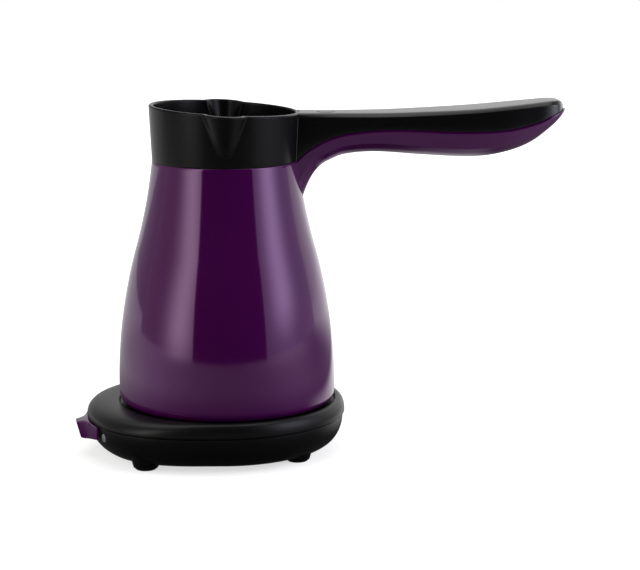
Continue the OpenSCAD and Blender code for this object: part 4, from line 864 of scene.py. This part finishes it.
def painted_dark_reflection_material():
    """Black sheet that reflects nothing and only reflections see: a painted dark reflection on the object's
    front.
    """
    mat, _, shader = node_tree("dark_card")
    shader.inputs["Base Color"].default_value = (0.002, 0.002, 0.002, 1)
    shader.inputs["Roughness"].default_value = 1.0
    shader.inputs["Specular IOR Level"].default_value = 0.0
    return mat


stage_mesh("Left_Softbox", *card_points(CARD_R, -105, LEFT_EDGE, 1.0),
           card_material("left_light", (1.0, 0.98, 0.93), 0.55, 4.0, -53, 15.5, -0.27, (-0.05, 0.12, 0.5)),
           camera=False, shadow=False)
stage_mesh("Right_Softbox", *card_points(CARD_R, RIGHT_EDGE, 110, 1.0),
           card_material("right_light", (0.95, 0.96, 1.13), 0.85, 3.9, 66, 15, 0.0, (0.0, 0.22, 0.15)),
           camera=False, shadow=False)
# A dark card that only reflections see, for painted dark reflections on the object's front.
stage_mesh("Front_Dark", *card_points(DARK_R, LEFT_EDGE, RIGHT_EDGE, 1.6), painted_dark_reflection_material(),
           camera=False, diffuse=False, shadow=False)


def area_light(name, place, target, size, power, glossy=True):
    """A lamp that points at target. The camera doesn't see it, and reflections only if it's glossy."""
    data = bpy.data.lights.new(name, "AREA")
    data.shape = "RECTANGLE"
    data.size, data.size_y = size
    data.energy = power
    obj = bpy.data.objects.new(name, data)
    scene.collection.objects.link(obj)
    obj.location = place
    obj.rotation_euler = (Vector(target) - Vector(place)).to_track_quat("-Z", "Y").to_euler()
    obj.visible_glossy = glossy
    obj.visible_camera = False


area_light("Top_Light", (0.0, 0.15, 1.3), (0, 0, 0.08), (1.4, 1.1), 9.0)
area_light("Left_Fill", (-1.4, 0.0, 0.5), (0, 0, 0.1), (1.0, 1.0), 19.0, glossy=False)
area_light("Right_Fill", (1.4, 0.0, 0.5), (0, 0, 0.1), (1.0, 1.0), 22.0, glossy=False)

# White to the camera. The rest of the scene gets little light from the front and more from the back's right.
world = bpy.data.worlds.new("Studio")
scene.world = world
world.use_nodes = True
tree = world.node_tree
background = next(n for n in tree.nodes if n.type == "BACKGROUND")
background.inputs["Color"].default_value = (1, 1, 1, 1)
way = add(tree, "ShaderNodeTexCoord")
xyz = add(tree, "ShaderNodeSeparateXYZ", {0: way.outputs["Generated"]})
behind = maths(tree, "MULTIPLY_ADD", ramp(tree, xyz.outputs["Y"], 0.0, 0.5, 0.0, 1.0),
               ramp(tree, xyz.outputs["X"], -0.6, 0.6, 0.05, 0.95), 0.4)
path = add(tree, "ShaderNodeLightPath")
level = add(tree, "ShaderNodeMix", {"Factor": path.outputs["Is Camera Ray"], "A": behind, "B": 1.0},
            data_type="FLOAT")
tree.links.new(level.outputs[0], background.inputs["Strength"])

camera_data = bpy.data.cameras.new("Camera")
camera_data.sensor_width = SENSOR_W
camera_data.lens = FOCAL_PX / PHOTO_PX * SENSOR_W
camera = bpy.data.objects.new("Camera", camera_data)
scene.collection.objects.link(camera)
camera.location = CAMERA_AT
camera.rotation_euler = Euler([math.radians(a) for a in CAMERA_TURN], "XYZ")
scene.camera = camera
